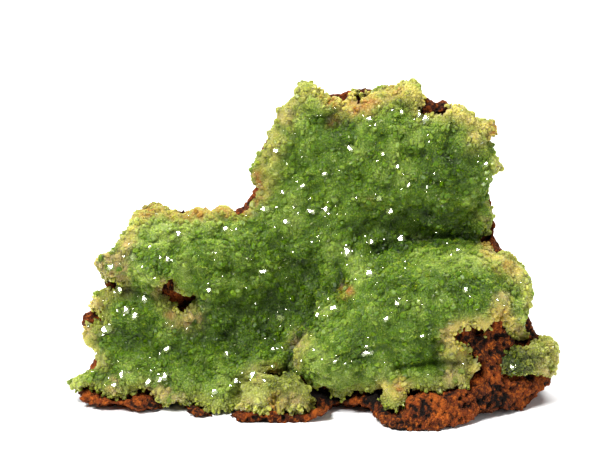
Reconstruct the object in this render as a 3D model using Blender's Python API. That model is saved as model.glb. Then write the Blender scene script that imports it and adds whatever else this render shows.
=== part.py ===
"""Adamite druse on limonite: a loose hand specimen, 90 mm wide, that stands on its broken base.

Outlines and depths are in millimetres as the specimen is seen from its front, SIGHT_ELEVATION above
the horizon: u to the right, v upwards, and d the depth behind the foremost foot. Such a point stands
at x = u, y = d and z = (v - d sin e) / cos e, and the finished bodies are moved so that the origin is
at the middle of the base.
"""

import math
import random
from dataclasses import dataclass

import bmesh
import bpy
import numpy as np
from mathutils import Vector, noise
from mathutils.geometry import delaunay_2d_cdt

MM = 0.001
SIGHT_ELEVATION = math.radians(15.0)

CRUST_THICKNESS = 3.2      # of the green crust, from its bed to the foot of its crystals
LUMP_SPACING = 6.4         # of the rounded lumps that the crust is heaped into
LUMP_HEIGHT = 1.6
CRYSTAL_SPACING = 2.4      # of the crystal tips
PATCH_CRYSTAL_SPACING = 1.9  # of those of the two small crusts
CRYSTAL_HEIGHT = 1.0
CRYSTAL_LEAN = 0.3         # how far a tip leans, as a share of its height
RIM_INSET = 0.45           # the crust's rim is rounded by this much
RIM_RINGS = ((RIM_INSET, 0.4), (0.4 * RIM_INSET, 1.0))  # how far out and back its rings lie
EDGE_SPACING = 2.0         # of the corners of an edge
EDGE_WOBBLE = 0.3          # how far they stand off the line that the outline draws

BED_GAP = 0.5              # the free space between a crust and its bed, along the line of sight
BED_GROWTH = 0.4           # how far a bed reaches past its crust's outline
BED_STEP = 0.9             # the width of the step from a bed up to bare rock
BED_SPACING = 3.2          # of the corners of the facets of a bed

ROCK_SPACING = 1.8         # of the corners of the facets of the bare limonite
ROCK_GRAIN = 0.6           # the height of its grains
ROCK_RINGS = 5             # rows of facets round its sides
BACK_SPACING = 3.6         # of the corners of the facets of its back
BACK_RELIEF = 2.4          # how far the broken back is rough
BED_MARGIN = 1.3           # how far these corners stay from the edges
ROCK_WELD = 0.35           # corners of the rock's front closer than this are one
ROCK_EDGE_SPACING = 2.8    # of the corners of its outline
SIDE_SWELL = 1.0           # how far its sides swell out between front and back
ROCK_MIDDLE = Vector((0.0, 0.0, 24.0))  # what they swell away from
BASE_SINK = 1.6            # how far the broken underside reaches below the plane that trims it
BASE_SLOPE = 2.4           # it is down there after one part in this of the way back

# The broken faces of the back: the depth at the origin, and how it grows to the right and upwards.
BACK_FACES = (
    (42.0, 0.0, -0.02), (47.5, 0.04, -0.16), (36.5, 0.0, 0.55), (44.0, -0.22, 0.0), (45.5, 0.25, 0.03),
)

# Corners of the rock's front outline, clockwise, and the x and z of the corner of its back that the
# side runs to from each.
SIDE_CORNERS = (
    ((-9.6, 44.4), (-11.0, 31.5)), ((-6.1, 56.6), (-5.0, 44.6)), ((0.2, 61.6), (1.5, 49.8)),
    ((17.4, 62.2), (15.0, 50.6)), ((27.4, 57.4), (24.0, 46.0)), ((32.3, 52.4), (28.6, 40.6)),
    ((33.0, 34.8), (30.6, 30.0)), ((37.9, 26.4), (35.4, 21.0)), ((42.0, 16.1), (38.0, 11.0)),
    ((43.6, 8.2), (38.6, 3.0)), ((38.2, 3.5), (35.0, -BASE_SINK)), ((19.8, 0.0), (17.0, -BASE_SINK)),
    ((8.4, 5.3), (8.0, -BASE_SINK)), ((-9.4, 1.3), (-8.0, -BASE_SINK)),
    ((-23.6, 3.8), (-21.0, -BASE_SINK)), ((-39.6, 4.2), (-35.0, -BASE_SINK)),
    ((-43.5, 6.2), (-38.8, 2.0)), ((-39.2, 10.2), (-39.6, 6.5)), ((-42.4, 18.6), (-39.0, 12.0)),
    ((-37.2, 24.5), (-36.6, 17.0)), ((-38.2, 31.0), (-34.0, 22.5)), ((-32.4, 38.4), (-29.5, 27.0)),
    ((-18.4, 39.2), (-18.6, 28.4)),
)

# The green crust as one outline, clockwise from the left end of the upper block.
CRUST_OUTLINE = (
    (-11.2, 45.2), (-10.5, 46.6), (-10.3, 48.8), (-9.0, 50.9), (-7.8, 52.3), (-7.8, 54.6),
    (-6.9, 57.2), (-5.2, 58.9), (-4.1, 59.8), (-3.3, 61.8), (-1.5, 63.6), (0.2, 63.1), (1.8, 61.5),
    (3.0, 60.3), (4.4, 60.2), (4.6, 61.5), (5.4, 62.3), (6.9, 61.2), (8.4, 59.9), (9.6, 60.8),
    (11.6, 61.7), (12.7, 62.5), (14.6, 62.0), (16.3, 63.6), (17.8, 64.2), (19.0, 63.4), (20.0, 61.4),
    (19.8, 59.4), (21.4, 57.7), (23.0, 58.7), (24.8, 60.0), (27.4, 58.8), (28.6, 57.3), (30.2, 56.4),
    (31.5, 56.6), (33.6, 54.2), (31.9, 52.3), (33.1, 50.6), (33.4, 49.2), (34.3, 48.0), (33.7, 46.5),
    (32.6, 45.6), (32.3, 44.2), (31.2, 42.8), (31.8, 41.2), (32.6, 38.6), (32.1, 36.6), (30.2, 34.9),
    (29.4, 34.0), (31.0, 34.2), (32.4, 34.3), (33.2, 33.3), (32.4, 31.6), (33.8, 31.6), (35.2, 32.6),
    (36.3, 31.7), (36.9, 30.4), (38.4, 29.4), (39.2, 27.0), (39.3, 25.0), (39.9, 22.2), (39.3, 20.6),
    (38.4, 18.8), (38.4, 16.4), (37.3, 15.9), (36.2, 17.4), (35.0, 19.2), (34.1, 20.1), (33.2, 19.0),
    (32.4, 17.5), (31.0, 17.4), (29.4, 18.8), (27.6, 18.5), (25.6, 17.2), (27.2, 15.9), (28.6, 14.8),
    (29.2, 12.8), (30.4, 11.2), (29.9, 9.8), (28.0, 8.5), (25.2, 8.4), (22.6, 7.6), (20.4, 7.9),
    (17.2, 7.8), (15.9, 6.6), (15.4, 4.2), (14.2, 3.6), (13.0, 5.6), (12.2, 7.8), (10.8, 7.5),
    (9.4, 6.9), (7.6, 7.4), (5.9, 6.8), (4.6, 5.9), (3.4, 6.6), (2.2, 7.9), (0.4, 7.6), (-1.4, 8.5),
    (-2.6, 10.0), (-4.2, 10.7), (-6.4, 10.5), (-9.0, 10.4), (-11.4, 10.0), (-13.0, 8.4),
    (-13.0, 6.6), (-13.5, 4.6), (-15.6, 3.8), (-17.4, 3.5), (-19.2, 4.5), (-21.2, 5.5), (-23.2, 5.4),
    (-24.8, 4.2), (-26.6, 4.1), (-27.8, 5.1), (-29.0, 6.6), (-31.4, 7.6), (-34.2, 6.8), (-36.8, 6.2),
    (-39.2, 7.2), (-41.4, 8.4), (-42.9, 7.8), (-43.7, 6.8), (-44.6, 6.6), (-45.5, 7.9),
    (-44.6, 8.8), (-44.0, 9.7), (-41.8, 10.2), (-39.8, 11.0), (-39.8, 13.6), (-41.6, 14.6),
    (-42.4, 16.6), (-41.6, 18.0), (-39.6, 18.8), (-38.9, 20.2), (-39.9, 21.4), (-41.5, 22.4),
    (-40.6, 23.5), (-39.7, 24.6), (-37.6, 25.2), (-36.3, 25.6), (-37.9, 26.5), (-39.2, 28.0),
    (-40.0, 29.6), (-39.5, 31.8), (-37.2, 32.9), (-35.0, 34.0), (-34.2, 36.2), (-33.5, 38.8),
    (-32.2, 40.1), (-31.0, 39.7), (-29.6, 41.2), (-28.2, 40.9), (-27.1, 39.6), (-24.6, 39.1),
    (-22.2, 39.8), (-19.6, 39.6), (-17.2, 40.4), (-15.2, 39.9), (-13.9, 38.9), (-12.6, 40.4),
    (-11.2, 40.8), (-10.5, 42.2), (-10.1, 43.6),
)

# The pit in the crust, where the rock shows under the edge of the left shoulder.
PIT_OUTLINE = (
    (-28.9, 25.6), (-27.4, 26.2), (-26.3, 27.3), (-25.5, 26.4), (-25.3, 24.9), (-23.6, 23.7),
    (-21.6, 23.6), (-22.3, 22.2), (-23.8, 20.8), (-25.4, 21.9), (-27.6, 23.2), (-28.8, 24.2),
)

# How deep the crust's front lies: the block above, the shoulder and the hollow on the left, and the
# lobe on the right that bulges forward over the foot.
CRUST_SOUNDINGS = (
    (-2.0, 62.5, 27.0), (10.0, 61.5, 27.0), (18.0, 63.5, 27.0), (30.0, 56.0, 26.5), (-10.0, 47.0, 26.0),
    (-7.0, 55.0, 26.5), (-4.0, 50.0, 23.2), (5.0, 55.0, 23.5), (14.0, 55.0, 22.8), (24.0, 54.0, 23.8),
    (10.0, 47.0, 21.2), (20.0, 46.0, 21.6), (28.0, 46.0, 23.0), (33.6, 47.0, 26.5), (1.0, 44.0, 21.6),
    (32.0, 39.0, 25.6), (24.0, 40.0, 22.2), (12.0, 39.0, 20.8), (3.0, 37.0, 20.2), (-6.0, 40.0, 22.6),
    (19.0, 35.0, 26.0), (26.5, 34.8, 27.0), (12.0, 33.8, 22.6), (21.0, 39.0, 22.4),
    (30.5, 34.6, 25.2), (-10.5, 43.0, 26.2),
    (-32.0, 39.0, 24.0), (-24.0, 38.6, 23.8), (-16.0, 39.0, 24.4), (-29.0, 34.0, 17.6),
    (-20.0, 34.0, 18.4), (-12.0, 36.0, 21.8), (-31.5, 29.5, 14.8), (-27.0, 29.2, 15.0),
    (-29.5, 26.6, 15.0), (-34.5, 31.0, 17.6), (-38.6, 29.6, 18.6), (-22.0, 27.4, 16.8),
    (-5.0, 31.0, 21.2), (-13.0, 29.0, 19.6), (-20.0, 22.4, 18.0), (-31.0, 24.4, 19.8),
    (-33.5, 25.8, 19.6), (-38.0, 23.6, 19.6), (-41.0, 22.6, 21.0), (-35.0, 20.0, 18.0),
    (-28.0, 19.0, 18.6), (-41.5, 15.8, 19.6), (-37.0, 13.5, 16.4), (-31.0, 12.5, 15.8),
    (-24.0, 14.0, 17.2), (-15.0, 15.0, 19.6), (-10.0, 21.0, 22.4), (-6.0, 26.0, 22.8),
    (-6.0, 16.5, 21.2), (-9.0, 12.4, 15.8), (-15.0, 8.6, 14.0), (-16.5, 4.6, 11.2),
    (-24.0, 8.0, 13.0), (-26.0, 4.8, 12.2), (-32.0, 9.0, 13.4), (-38.0, 8.4, 14.2),
    (-43.0, 9.2, 16.4), (-45.0, 7.8, 17.6), (0.0, 27.0, 22.0), (1.5, 22.6, 19.0), (4.5, 26.4, 16.0),
    (9.0, 29.0, 15.2), (14.5, 31.2, 16.4), (21.0, 32.2, 17.0), (28.0, 31.2, 17.2), (33.4, 32.6, 20.6),
    (37.0, 29.8, 19.2), (8.0, 23.0, 10.2), (15.0, 24.0, 8.6), (23.0, 24.0, 8.4), (30.0, 25.0, 10.0),
    (35.0, 25.4, 12.6), (39.4, 24.0, 17.4), (38.4, 17.6, 16.8), (32.0, 19.6, 9.8), (25.0, 18.0, 7.0),
    (36.4, 19.4, 12.6), (2.0, 17.0, 9.6), (-2.6, 13.6, 10.6), (-3.4, 11.2, 12.0), (9.0, 16.0, 7.2),
    (17.0, 16.0, 6.8), (3.0, 10.0, 8.6), (10.0, 9.8, 8.4), (4.6, 6.8, 10.2), (9.6, 7.4, 9.8),
    (16.0, 11.8, 8.6), (23.0, 12.0, 10.0), (28.0, 11.4, 9.8), (26.0, 14.4, 7.4), (28.0, 9.4, 7.4),
    (20.0, 9.0, 5.6), (14.2, 8.4, 5.6), (14.6, 4.6, 3.6), (-1.0, 19.4, 18.4), (-4.8, 14.6, 18.2),
    (-5.2, 12.2, 15.4),
)

# How deep the limonite's front lies where it is bare.
ROCK_SOUNDINGS = (
    (-43.4, 6.4, 16.4), (-40.0, 5.6, 13.6), (-36.5, 5.6, 12.8), (-32.0, 5.4, 11.4), (-28.0, 4.8, 12.2),
    (-21.4, 4.2, 9.2), (-15.0, 3.0, 8.8), (-12.0, 3.2, 8.0), (-9.4, 2.0, 6.0), (-4.0, 2.4, 6.6),
    (1.0, 4.2, 9.8), (5.0, 5.8, 11.6), (9.6, 5.6, 9.6), (11.0, 3.2, 4.8), (13.0, 3.0, 2.6),
    (16.0, 4.6, 1.8), (17.0, 0.6, 0.4), (20.0, 0.6, 0.0), (20.0, 6.6, 2.4), (26.0, 2.4, 2.8),
    (26.0, 7.4, 4.4), (30.6, 4.0, 6.6), (30.6, 9.2, 6.6), (34.4, 5.4, 9.6), (33.4, 12.0, 9.6),
    (38.0, 4.2, 12.6), (38.0, 8.4, 12.4), (43.2, 8.2, 18.0), (41.0, 7.0, 15.4), (32.0, 15.2, 11.0),
    (34.1, 18.8, 13.4), (27.2, 17.2, 10.6), (30.4, 16.6, 11.4), (36.8, 16.6, 15.0), (40.6, 17.2, 19.0),
    (39.2, 19.4, 20.0), (41.8, 15.4, 19.0), (43.4, 12.0, 20.4), (33.0, 42.0, 28.0), (33.0, 37.0, 27.6),
    (32.4, 34.4, 27.6), (34.0, 32.2, 24.0), (38.0, 27.0, 22.0), (3.5, 61.2, 29.6), (9.0, 61.8, 29.8),
    (22.0, 59.6, 29.4), (31.5, 54.0, 29.6), (-9.0, 51.8, 29.4), (-10.4, 47.0, 29.2), (-41.4, 20.0, 22.6),
    (-39.8, 22.6, 24.6), (-41.0, 15.0, 24.0), (-39.2, 11.2, 20.6), (-35.6, 35.0, 25.0),
    (-38.0, 29.0, 22.8), (-37.4, 26.2, 23.6), (-24.4, 40.0, 26.8), (-13.4, 39.4, 27.4),
    (-27.0, 25.0, 20.4), (-25.0, 22.6, 22.6), (-22.8, 23.0, 21.6), (-32.4, 39.0, 27.0),
)

# The tuft of radiating crystals at the foot, in front of the hollow, and the olive lump above it.
TUFT_OUTLINE = (
    (-12.4, 8.0), (-11.2, 9.3), (-9.2, 9.7), (-6.6, 9.9), (-4.6, 9.8), (-3.2, 9.0), (-2.1, 7.6),
    (-1.0, 6.1), (-1.4, 4.2), (-3.0, 3.2), (-5.0, 3.4), (-7.0, 3.7), (-9.0, 3.0), (-11.2, 3.3),
    (-12.9, 3.5), (-12.4, 5.6),
)
TUFT_CENTRE = (-6.8, 6.4)
TUFT_RADII = (7.6, 4.6)
TUFT_DEPTH = 11.6          # of the middle of its back
TUFT_RIM = 1.6             # its thickness at its edge
TUFT_RISE = 3.2            # how much thicker it is at its crown
TUFT_LEAN = 0.55           # how much deeper it lies for each millimetre up

# The paler crust on the right tip, cut off from the rest by the limonite.
TIP_OUTLINE = (
    (35.2, 13.4), (35.9, 14.9), (37.6, 14.7), (39.6, 14.6), (41.0, 15.4), (42.4, 16.4), (43.8, 16.6),
    (44.8, 15.4), (45.3, 12.8), (44.9, 10.8), (43.9, 9.2), (42.0, 9.6), (39.8, 10.0), (37.4, 10.0),
    (35.0, 10.2), (34.6, 11.8),
)
TIP_THICKNESS = 2.4
TIP_SOUNDINGS = (
    (35.2, 11.6, 10.6), (36.6, 14.0, 11.8), (38.6, 12.4, 11.6), (41.4, 12.6, 13.6), (42.8, 15.8, 16.6),
    (45.0, 13.0, 18.6), (43.6, 9.8, 16.6), (39.0, 10.2, 12.0),
)

# The limonite's front outline, clockwise from the left end of the upper block.
ROCK_OUTLINE = (
    (-9.6, 44.4), (-10.0, 46.9), (-9.0, 49.2), (-9.4, 51.2), (-8.2, 52.8), (-6.9, 54.8), (-6.1, 56.6),
    (-4.4, 58.4), (-2.6, 60.8), (0.2, 61.6), (2.2, 61.6), (4.4, 61.5), (6.6, 61.9), (8.8, 62.4),
    (11.2, 61.9), (14.0, 61.0), (17.4, 62.2), (20.6, 61.0), (23.4, 60.1), (25.4, 59.2), (27.4, 57.4),
    (29.4, 55.4), (31.6, 54.0), (32.3, 52.4), (33.0, 50.2), (32.4, 47.8), (32.7, 45.4), (32.0, 43.9),
    (32.9, 41.4), (33.3, 37.6), (33.0, 34.8), (32.3, 33.2), (34.1, 32.6), (35.6, 31.2), (37.2, 29.4),
    (37.9, 26.4), (38.2, 23.4), (38.8, 20.7), (40.1, 18.8), (42.0, 16.1), (43.0, 14.2), (43.6, 11.6),
    (43.3, 9.4), (43.6, 8.2), (41.4, 6.5), (39.4, 4.9), (38.2, 3.5), (36.4, 3.5), (34.4, 4.3),
    (31.8, 3.9), (28.6, 2.4), (25.6, 1.3), (22.6, 0.4), (19.8, 0.0), (16.8, 0.0), (14.4, 0.4),
    (12.2, 1.6), (10.7, 2.9), (10.3, 4.6), (8.4, 5.3), (5.4, 5.1), (2.6, 4.6), (0.4, 3.3),
    (-2.2, 2.2), (-5.4, 1.6), (-9.4, 1.3), (-12.0, 2.2), (-15.4, 2.5), (-18.8, 2.5), (-21.4, 2.8),
    (-23.6, 3.8), (-25.4, 4.6), (-27.6, 4.0), (-30.2, 3.8), (-32.4, 3.6), (-35.2, 5.0), (-37.6, 4.9),
    (-39.6, 4.2), (-41.6, 5.0), (-43.5, 6.2), (-43.0, 7.9), (-41.4, 9.2), (-39.2, 10.2),
    (-39.0, 12.4), (-39.9, 14.8), (-41.6, 16.8), (-42.4, 18.6), (-41.9, 20.8), (-40.4, 21.8),
    (-39.3, 23.4), (-37.2, 24.5), (-36.0, 25.8), (-37.8, 27.2), (-38.6, 29.4), (-38.2, 31.0),
    (-36.2, 32.2), (-35.0, 34.2), (-34.0, 36.4), (-32.4, 38.4), (-29.8, 39.6), (-26.8, 39.8),
    (-24.2, 40.3), (-21.6, 39.7), (-18.4, 39.2), (-15.4, 39.2), (-13.2, 39.8), (-10.8, 40.2),
    (-9.7, 42.0),
)


def clear_scene():
    """Removes the objects that a new file comes with."""
    for thing in list(bpy.data.objects):
        bpy.data.objects.remove(thing, do_unlink=True)


def to_sight(place):
    """The u and v at which a place is seen."""
    return place.x, place.z * math.cos(SIGHT_ELEVATION) + place.y * math.sin(SIGHT_ELEVATION)


def from_sight(u, v, depth):
    """The place of a point seen at (u, v), at a depth behind the foremost foot."""
    return Vector((u, depth, (v - depth * math.sin(SIGHT_ELEVATION)) / math.cos(SIGHT_ELEVATION)))


class Plate:
    """A thin plate bent through soundings: the depth at any (u, v) between them."""

    def __init__(self, soundings):
        table = np.array(soundings)
        self.places = table[:, :2]
        count = len(table)
        flat = np.hstack((np.ones((count, 1)), self.places))
        system = np.zeros((count + 3, count + 3))
        system[:count, :count] = self.bend(self.places[:, None] - self.places[None])
        system[:count, count:] = flat
        system[count:, :count] = flat.T
        self.weights = np.linalg.solve(system, np.append(table[:, 2], np.zeros(3)))

    @staticmethod
    def bend(offsets):
        """How much a load bends the plate at these offsets from it."""
        squares = (offsets ** 2).sum(-1)
        return 0.5 * squares * np.log(squares + 1e-9)

    def __call__(self, u, v):
        pull = self.bend(self.places - np.array((u, v)))
        return float(self.weights @ np.append(pull, (1.0, u, v)))


CRUST_PLATE = Plate(CRUST_SOUNDINGS)
ROCK_PLATE = Plate(ROCK_SOUNDINGS)
TIP_PLATE = Plate(TIP_SOUNDINGS)


def tuft_front(u, v):
    """The depth of the tuft's front, a low dome."""
    reach = math.hypot((u - TUFT_CENTRE[0]) / TUFT_RADII[0], (v - TUFT_CENTRE[1]) / TUFT_RADII[1])
    return tuft_back(u, v) - TUFT_RIM - TUFT_RISE * (1.0 - min(reach, 1.0) ** 2)


def tuft_back(_, v):
    """The depth of the tuft's flat back."""
    return TUFT_DEPTH + TUFT_LEAN * (v - TUFT_CENTRE[1])


def lattice(spacing, jitter, seed):
    """Points of a triangular net over the whole specimen, each moved a little.

    The flag with each is true at every third point, which has six others round it.
    """
    draw = random.Random(seed)
    rows = int(70 / (spacing * 0.866))
    columns = int(96 / spacing)
    points = []
    for row in range(rows):
        for column in range(columns):
            u = -48 + spacing * (column + 0.5 * (row % 2))
            v = -2 + spacing * 0.866 * row
            centre = (column - row // 2 - row) % 3 == 0
            shift_u = draw.uniform(-jitter, jitter)
            shift_v = draw.uniform(-jitter, jitter)
            points.append((u + shift_u, v + shift_v, centre))
    return points


LUMP_CENTRES = np.array([(u, v) for u, v, _ in lattice(LUMP_SPACING, 1.3, 5)])


def lump(u, v):
    """How far the nearest rounded lump stands out of the crust, in millimetres."""
    squares = ((LUMP_CENTRES - np.array((u, v))) ** 2).sum(-1)
    domes = 1.0 - squares / (0.72 * LUMP_SPACING) ** 2
    return LUMP_HEIGHT * max(0.0, float(domes.max()))


def signed_distance(outline, u, v):
    """The distance from a closed outline, below zero inside it."""
    ends = np.array(outline)
    starts = np.roll(ends, 1, axis=0)
    runs = ends - starts
    place = np.array((u, v))
    shares = (((place - starts) * runs).sum(-1) / (runs ** 2).sum(-1)).clip(0.0, 1.0)
    nearest = np.sqrt(((starts + runs * shares[:, None] - place) ** 2).sum(-1).min())
    above = (starts[:, 1] > v) != (ends[:, 1] > v)
    rises = np.where(above, runs[:, 1], 1.0)
    crossings = above & (u < starts[:, 0] + (v - starts[:, 1]) / rises * runs[:, 0])
    return -float(nearest) if crossings.sum() % 2 else float(nearest)


def resample(outline, seed, longest=EDGE_SPACING):
    """The outline with its long sides parted, the new corners moved a little across the side."""
    draw = random.Random(seed)
    points = []
    for index, (u, v) in enumerate(outline):
        end_u, end_v = outline[(index + 1) % len(outline)]
        length = math.hypot(end_u - u, end_v - v)
        parts = max(1, math.ceil(length / longest))
        points.append((u, v))
        for part in range(1, parts):
            share = part / parts
            push = draw.uniform(-EDGE_WOBBLE, EDGE_WOBBLE) / length
            points.append((u + (end_u - u) * share - (end_v - v) * push,
                           v + (end_v - v) * share + (end_u - u) * push))
    return points


def grow(outline, amount):
    """A clockwise outline moved outwards by this much, or inwards below zero."""
    moved = []
    for index, (u, v) in enumerate(outline):
        last_u, last_v = outline[index - 1]
        next_u, next_v = outline[(index + 1) % len(outline)]
        along = Vector((next_u - last_u, next_v - last_v)).normalized()
        moved.append((u - along.y * amount, v + along.x * amount))
    return moved


def part_sheet(loops, points, weld=0.0):
    """Triangles through loops and loose points, over all they reach.

    Where loops cross, the crossings become corners. Corners closer than the weld are made one.
    """
    places = []
    edges = []
    for loop in loops:
        first = len(places)
        edges += [(first + step, first + (step + 1) % len(loop)) for step in range(len(loop))]
        places += loop
    places += points
    corners, lines, triangles, _, sources, _ = part_plane(places, edges)
    if weld:
        kept = []
        names = []
        for corner in corners:
            near = next((n for n, other in enumerate(kept) if (other - corner).length < weld), None)
            if near is None:
                near = len(kept)
                kept.append(corner)
            names.append(near)
        fixed = {tuple(sorted((names[a], names[b]))) for (a, b), source in zip(lines, sources) if source}
        edges = sorted(pair for pair in fixed if pair[0] != pair[1])
        corners, _, triangles, _, _, _ = part_plane(kept, edges)
    return corners, triangles


def part_plane(places, edges):
    """The Delaunay triangles of these places that keep these edges."""
    return delaunay_2d_cdt([Vector(place) for place in places], edges, [], 0, 1e-5)


def boundary_loops(bm):
    """The open edges of a sheet as closed rows of corners, in the order of its faces."""
    onward = {}
    for edge in bm.edges:
        if len(edge.link_faces) == 1:
            corner = edge.link_loops[0]
            onward[corner.vert] = corner.link_loop_next.vert
    loops = []
    while onward:
        start, here = onward.popitem()
        loop = [start]
        while here is not start:
            loop.append(here)
            here = onward.pop(here)
        loops.append(loop)
    return loops


def close_behind(bm, rings, place_ring, flatten, net, place_back):
    """Makes a sheet into a closed body: rings of facets round its open edges, then a back.

    place_ring gives the corners of a ring from those of the front edge and the ring's number.
    flatten gives the place of a corner of the last ring in the plane that the back is parted in,
    and place_back brings a corner of that plane back.
    """
    last_loops = []
    for loop in boundary_loops(bm):
        before = loop
        front = [corner.co.copy() for corner in loop]
        for ring in range(1, rings + 1):
            row = [bm.verts.new(place) for place in place_ring(front, ring)]
            for index in range(len(row)):
                after = (index + 1) % len(row)
                bm.faces.new((before[after], before[index], row[index], row[after]))
            before = row
        last_loops.append(before)
    flat_loops = [[flatten(corner.co) for corner in loop] for loop in last_loops]
    outer = max(flat_loops, key=lambda loop: max(u for u, _ in loop) - min(u for u, _ in loop))
    holes = [loop for loop in flat_loops if loop is not outer]

    def inside(u, v, margin):
        if signed_distance(outer, u, v) > -margin:
            return False
        return all(signed_distance(hole, u, v) > margin for hole in holes)

    points = [(u, v) for u, v, _ in net if inside(u, v, BED_MARGIN)]
    corners, triangles = part_sheet(flat_loops, points)
    rim = [corner for loop in last_loops for corner in loop]
    vertices = rim + [bm.verts.new(place_back(*corner)) for corner in corners[len(rim):]]
    for triangle in triangles:
        middle = sum((corners[index] for index in triangle), Vector((0.0, 0.0))) / 3
        if inside(middle.x, middle.y, 0.0):
            bm.faces.new([vertices[index] for index in triangle])


def new_material(name, colour, roughness):
    """A plain Principled material."""
    material = bpy.data.materials.new(name)
    material.use_nodes = True
    shader = material.node_tree.nodes["Principled BSDF"]
    shader.inputs["Base Color"].default_value = (*colour, 1.0)
    shader.inputs["Roughness"].default_value = roughness
    shader.inputs["Metallic"].default_value = 0.0
    return material


def finish_body(bm, name, material):
    """Makes the object of a closed body, in metres."""
    bmesh.ops.triangulate(bm, faces=bm.faces[:])
    bmesh.ops.recalc_face_normals(bm, faces=bm.faces[:])
    bmesh.ops.scale(bm, vec=(MM, MM, MM), verts=bm.verts[:])
    mesh = bpy.data.meshes.new(name)
    bm.to_mesh(mesh)
    bm.free()
    mesh.materials.append(material)
    body = bpy.data.objects.new(name, mesh)
    bpy.context.collection.objects.link(body)
    return body


@dataclass
class Crust:
    """One coat of adamite crystals: its outline, the depths of its front and back, any pits in it."""

    name: str
    outline: list
    front: object
    back: object
    seed: int
    tip_spacing: float = PATCH_CRYSTAL_SPACING
    pits: tuple = ()

    def distance(self, u, v):
        """The distance from the crust's edge, below zero on the crust."""
        reach = signed_distance(self.outline, u, v)
        return max([reach] + [-signed_distance(pit, u, v) for pit in self.pits])

    def build(self, bed_net, material):
        """Makes the crust's object, heaped in lumps, with a pyramid of faces at every crystal tip."""
        draw = random.Random(self.seed)
        loops = [grow(self.outline, -RIM_INSET)] + [grow(pit, RIM_INSET) for pit in self.pits]
        tips = []
        points = []
        for u, v, centre in lattice(self.tip_spacing / math.sqrt(3), 0.3, self.seed):
            if self.distance(u, v) < -RIM_INSET - 0.7:
                tips.append(centre)
                points.append((u, v))
        corners, triangles = part_sheet(loops, points)
        rim_count = sum(len(loop) for loop in loops)
        bm = bmesh.new()
        for u, v in corners:
            bm.verts.new(from_sight(u, v, self.front(u, v) - lump(u, v)))
        bm.verts.ensure_lookup_table()
        for triangle in triangles:
            middle = sum((corners[index] for index in triangle), Vector((0.0, 0.0))) / 3
            if self.distance(*middle) < -RIM_INSET * 0.5:
                bm.faces.new([bm.verts[index] for index in triangle])
        bm.normal_update()
        pushes = []
        for index, vertex in enumerate(bm.verts):
            lean = Vector([draw.uniform(-CRYSTAL_LEAN, CRYSTAL_LEAN) for _ in range(3)])
            height = CRYSTAL_HEIGHT * draw.uniform(0.6, 1.1)
            if index < rim_count:
                height *= 0.35 * draw.random()
            elif not tips[index - rim_count]:
                height *= -0.2
            pushes.append((vertex.normal + lean) * height)
        for vertex, push in zip(bm.verts, pushes):
            vertex.co += push

        def rim(front, ring):
            reach, share = RIM_RINGS[ring - 1]
            row = []
            for index, place in enumerate(front):
                along = front[(index + 1) % len(front)] - front[index - 1]
                outward = Vector((along.z, -along.x)).normalized()
                u, v = to_sight(place)
                u += outward.x * reach
                v += outward.y * reach
                row.append(from_sight(u, v, place.y + (self.back(u, v) - place.y) * share))
            return row

        close_behind(bm, len(RIM_RINGS), rim, to_sight, bed_net, lambda u, v: from_sight(u, v, self.back(u, v)))
        return finish_body(bm, self.name, material)


def rough(place, size):
    """An even noise from -1 to 1 whose bumps are about this many millimetres wide."""
    return noise.noise(place / size)


def back_depth(x, z):
    """The depth of the limonite's broken back."""
    face = min(depth + right * x + up * z for depth, right, up in BACK_FACES)
    place = Vector((x, face, z))
    chips = noise.turbulence(place / 16.0, 3, True)
    return face + BACK_RELIEF * (0.5 + rough(place, 13.0) - 1.5 * chips) + 0.7 * rough(place, 4.3)


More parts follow.
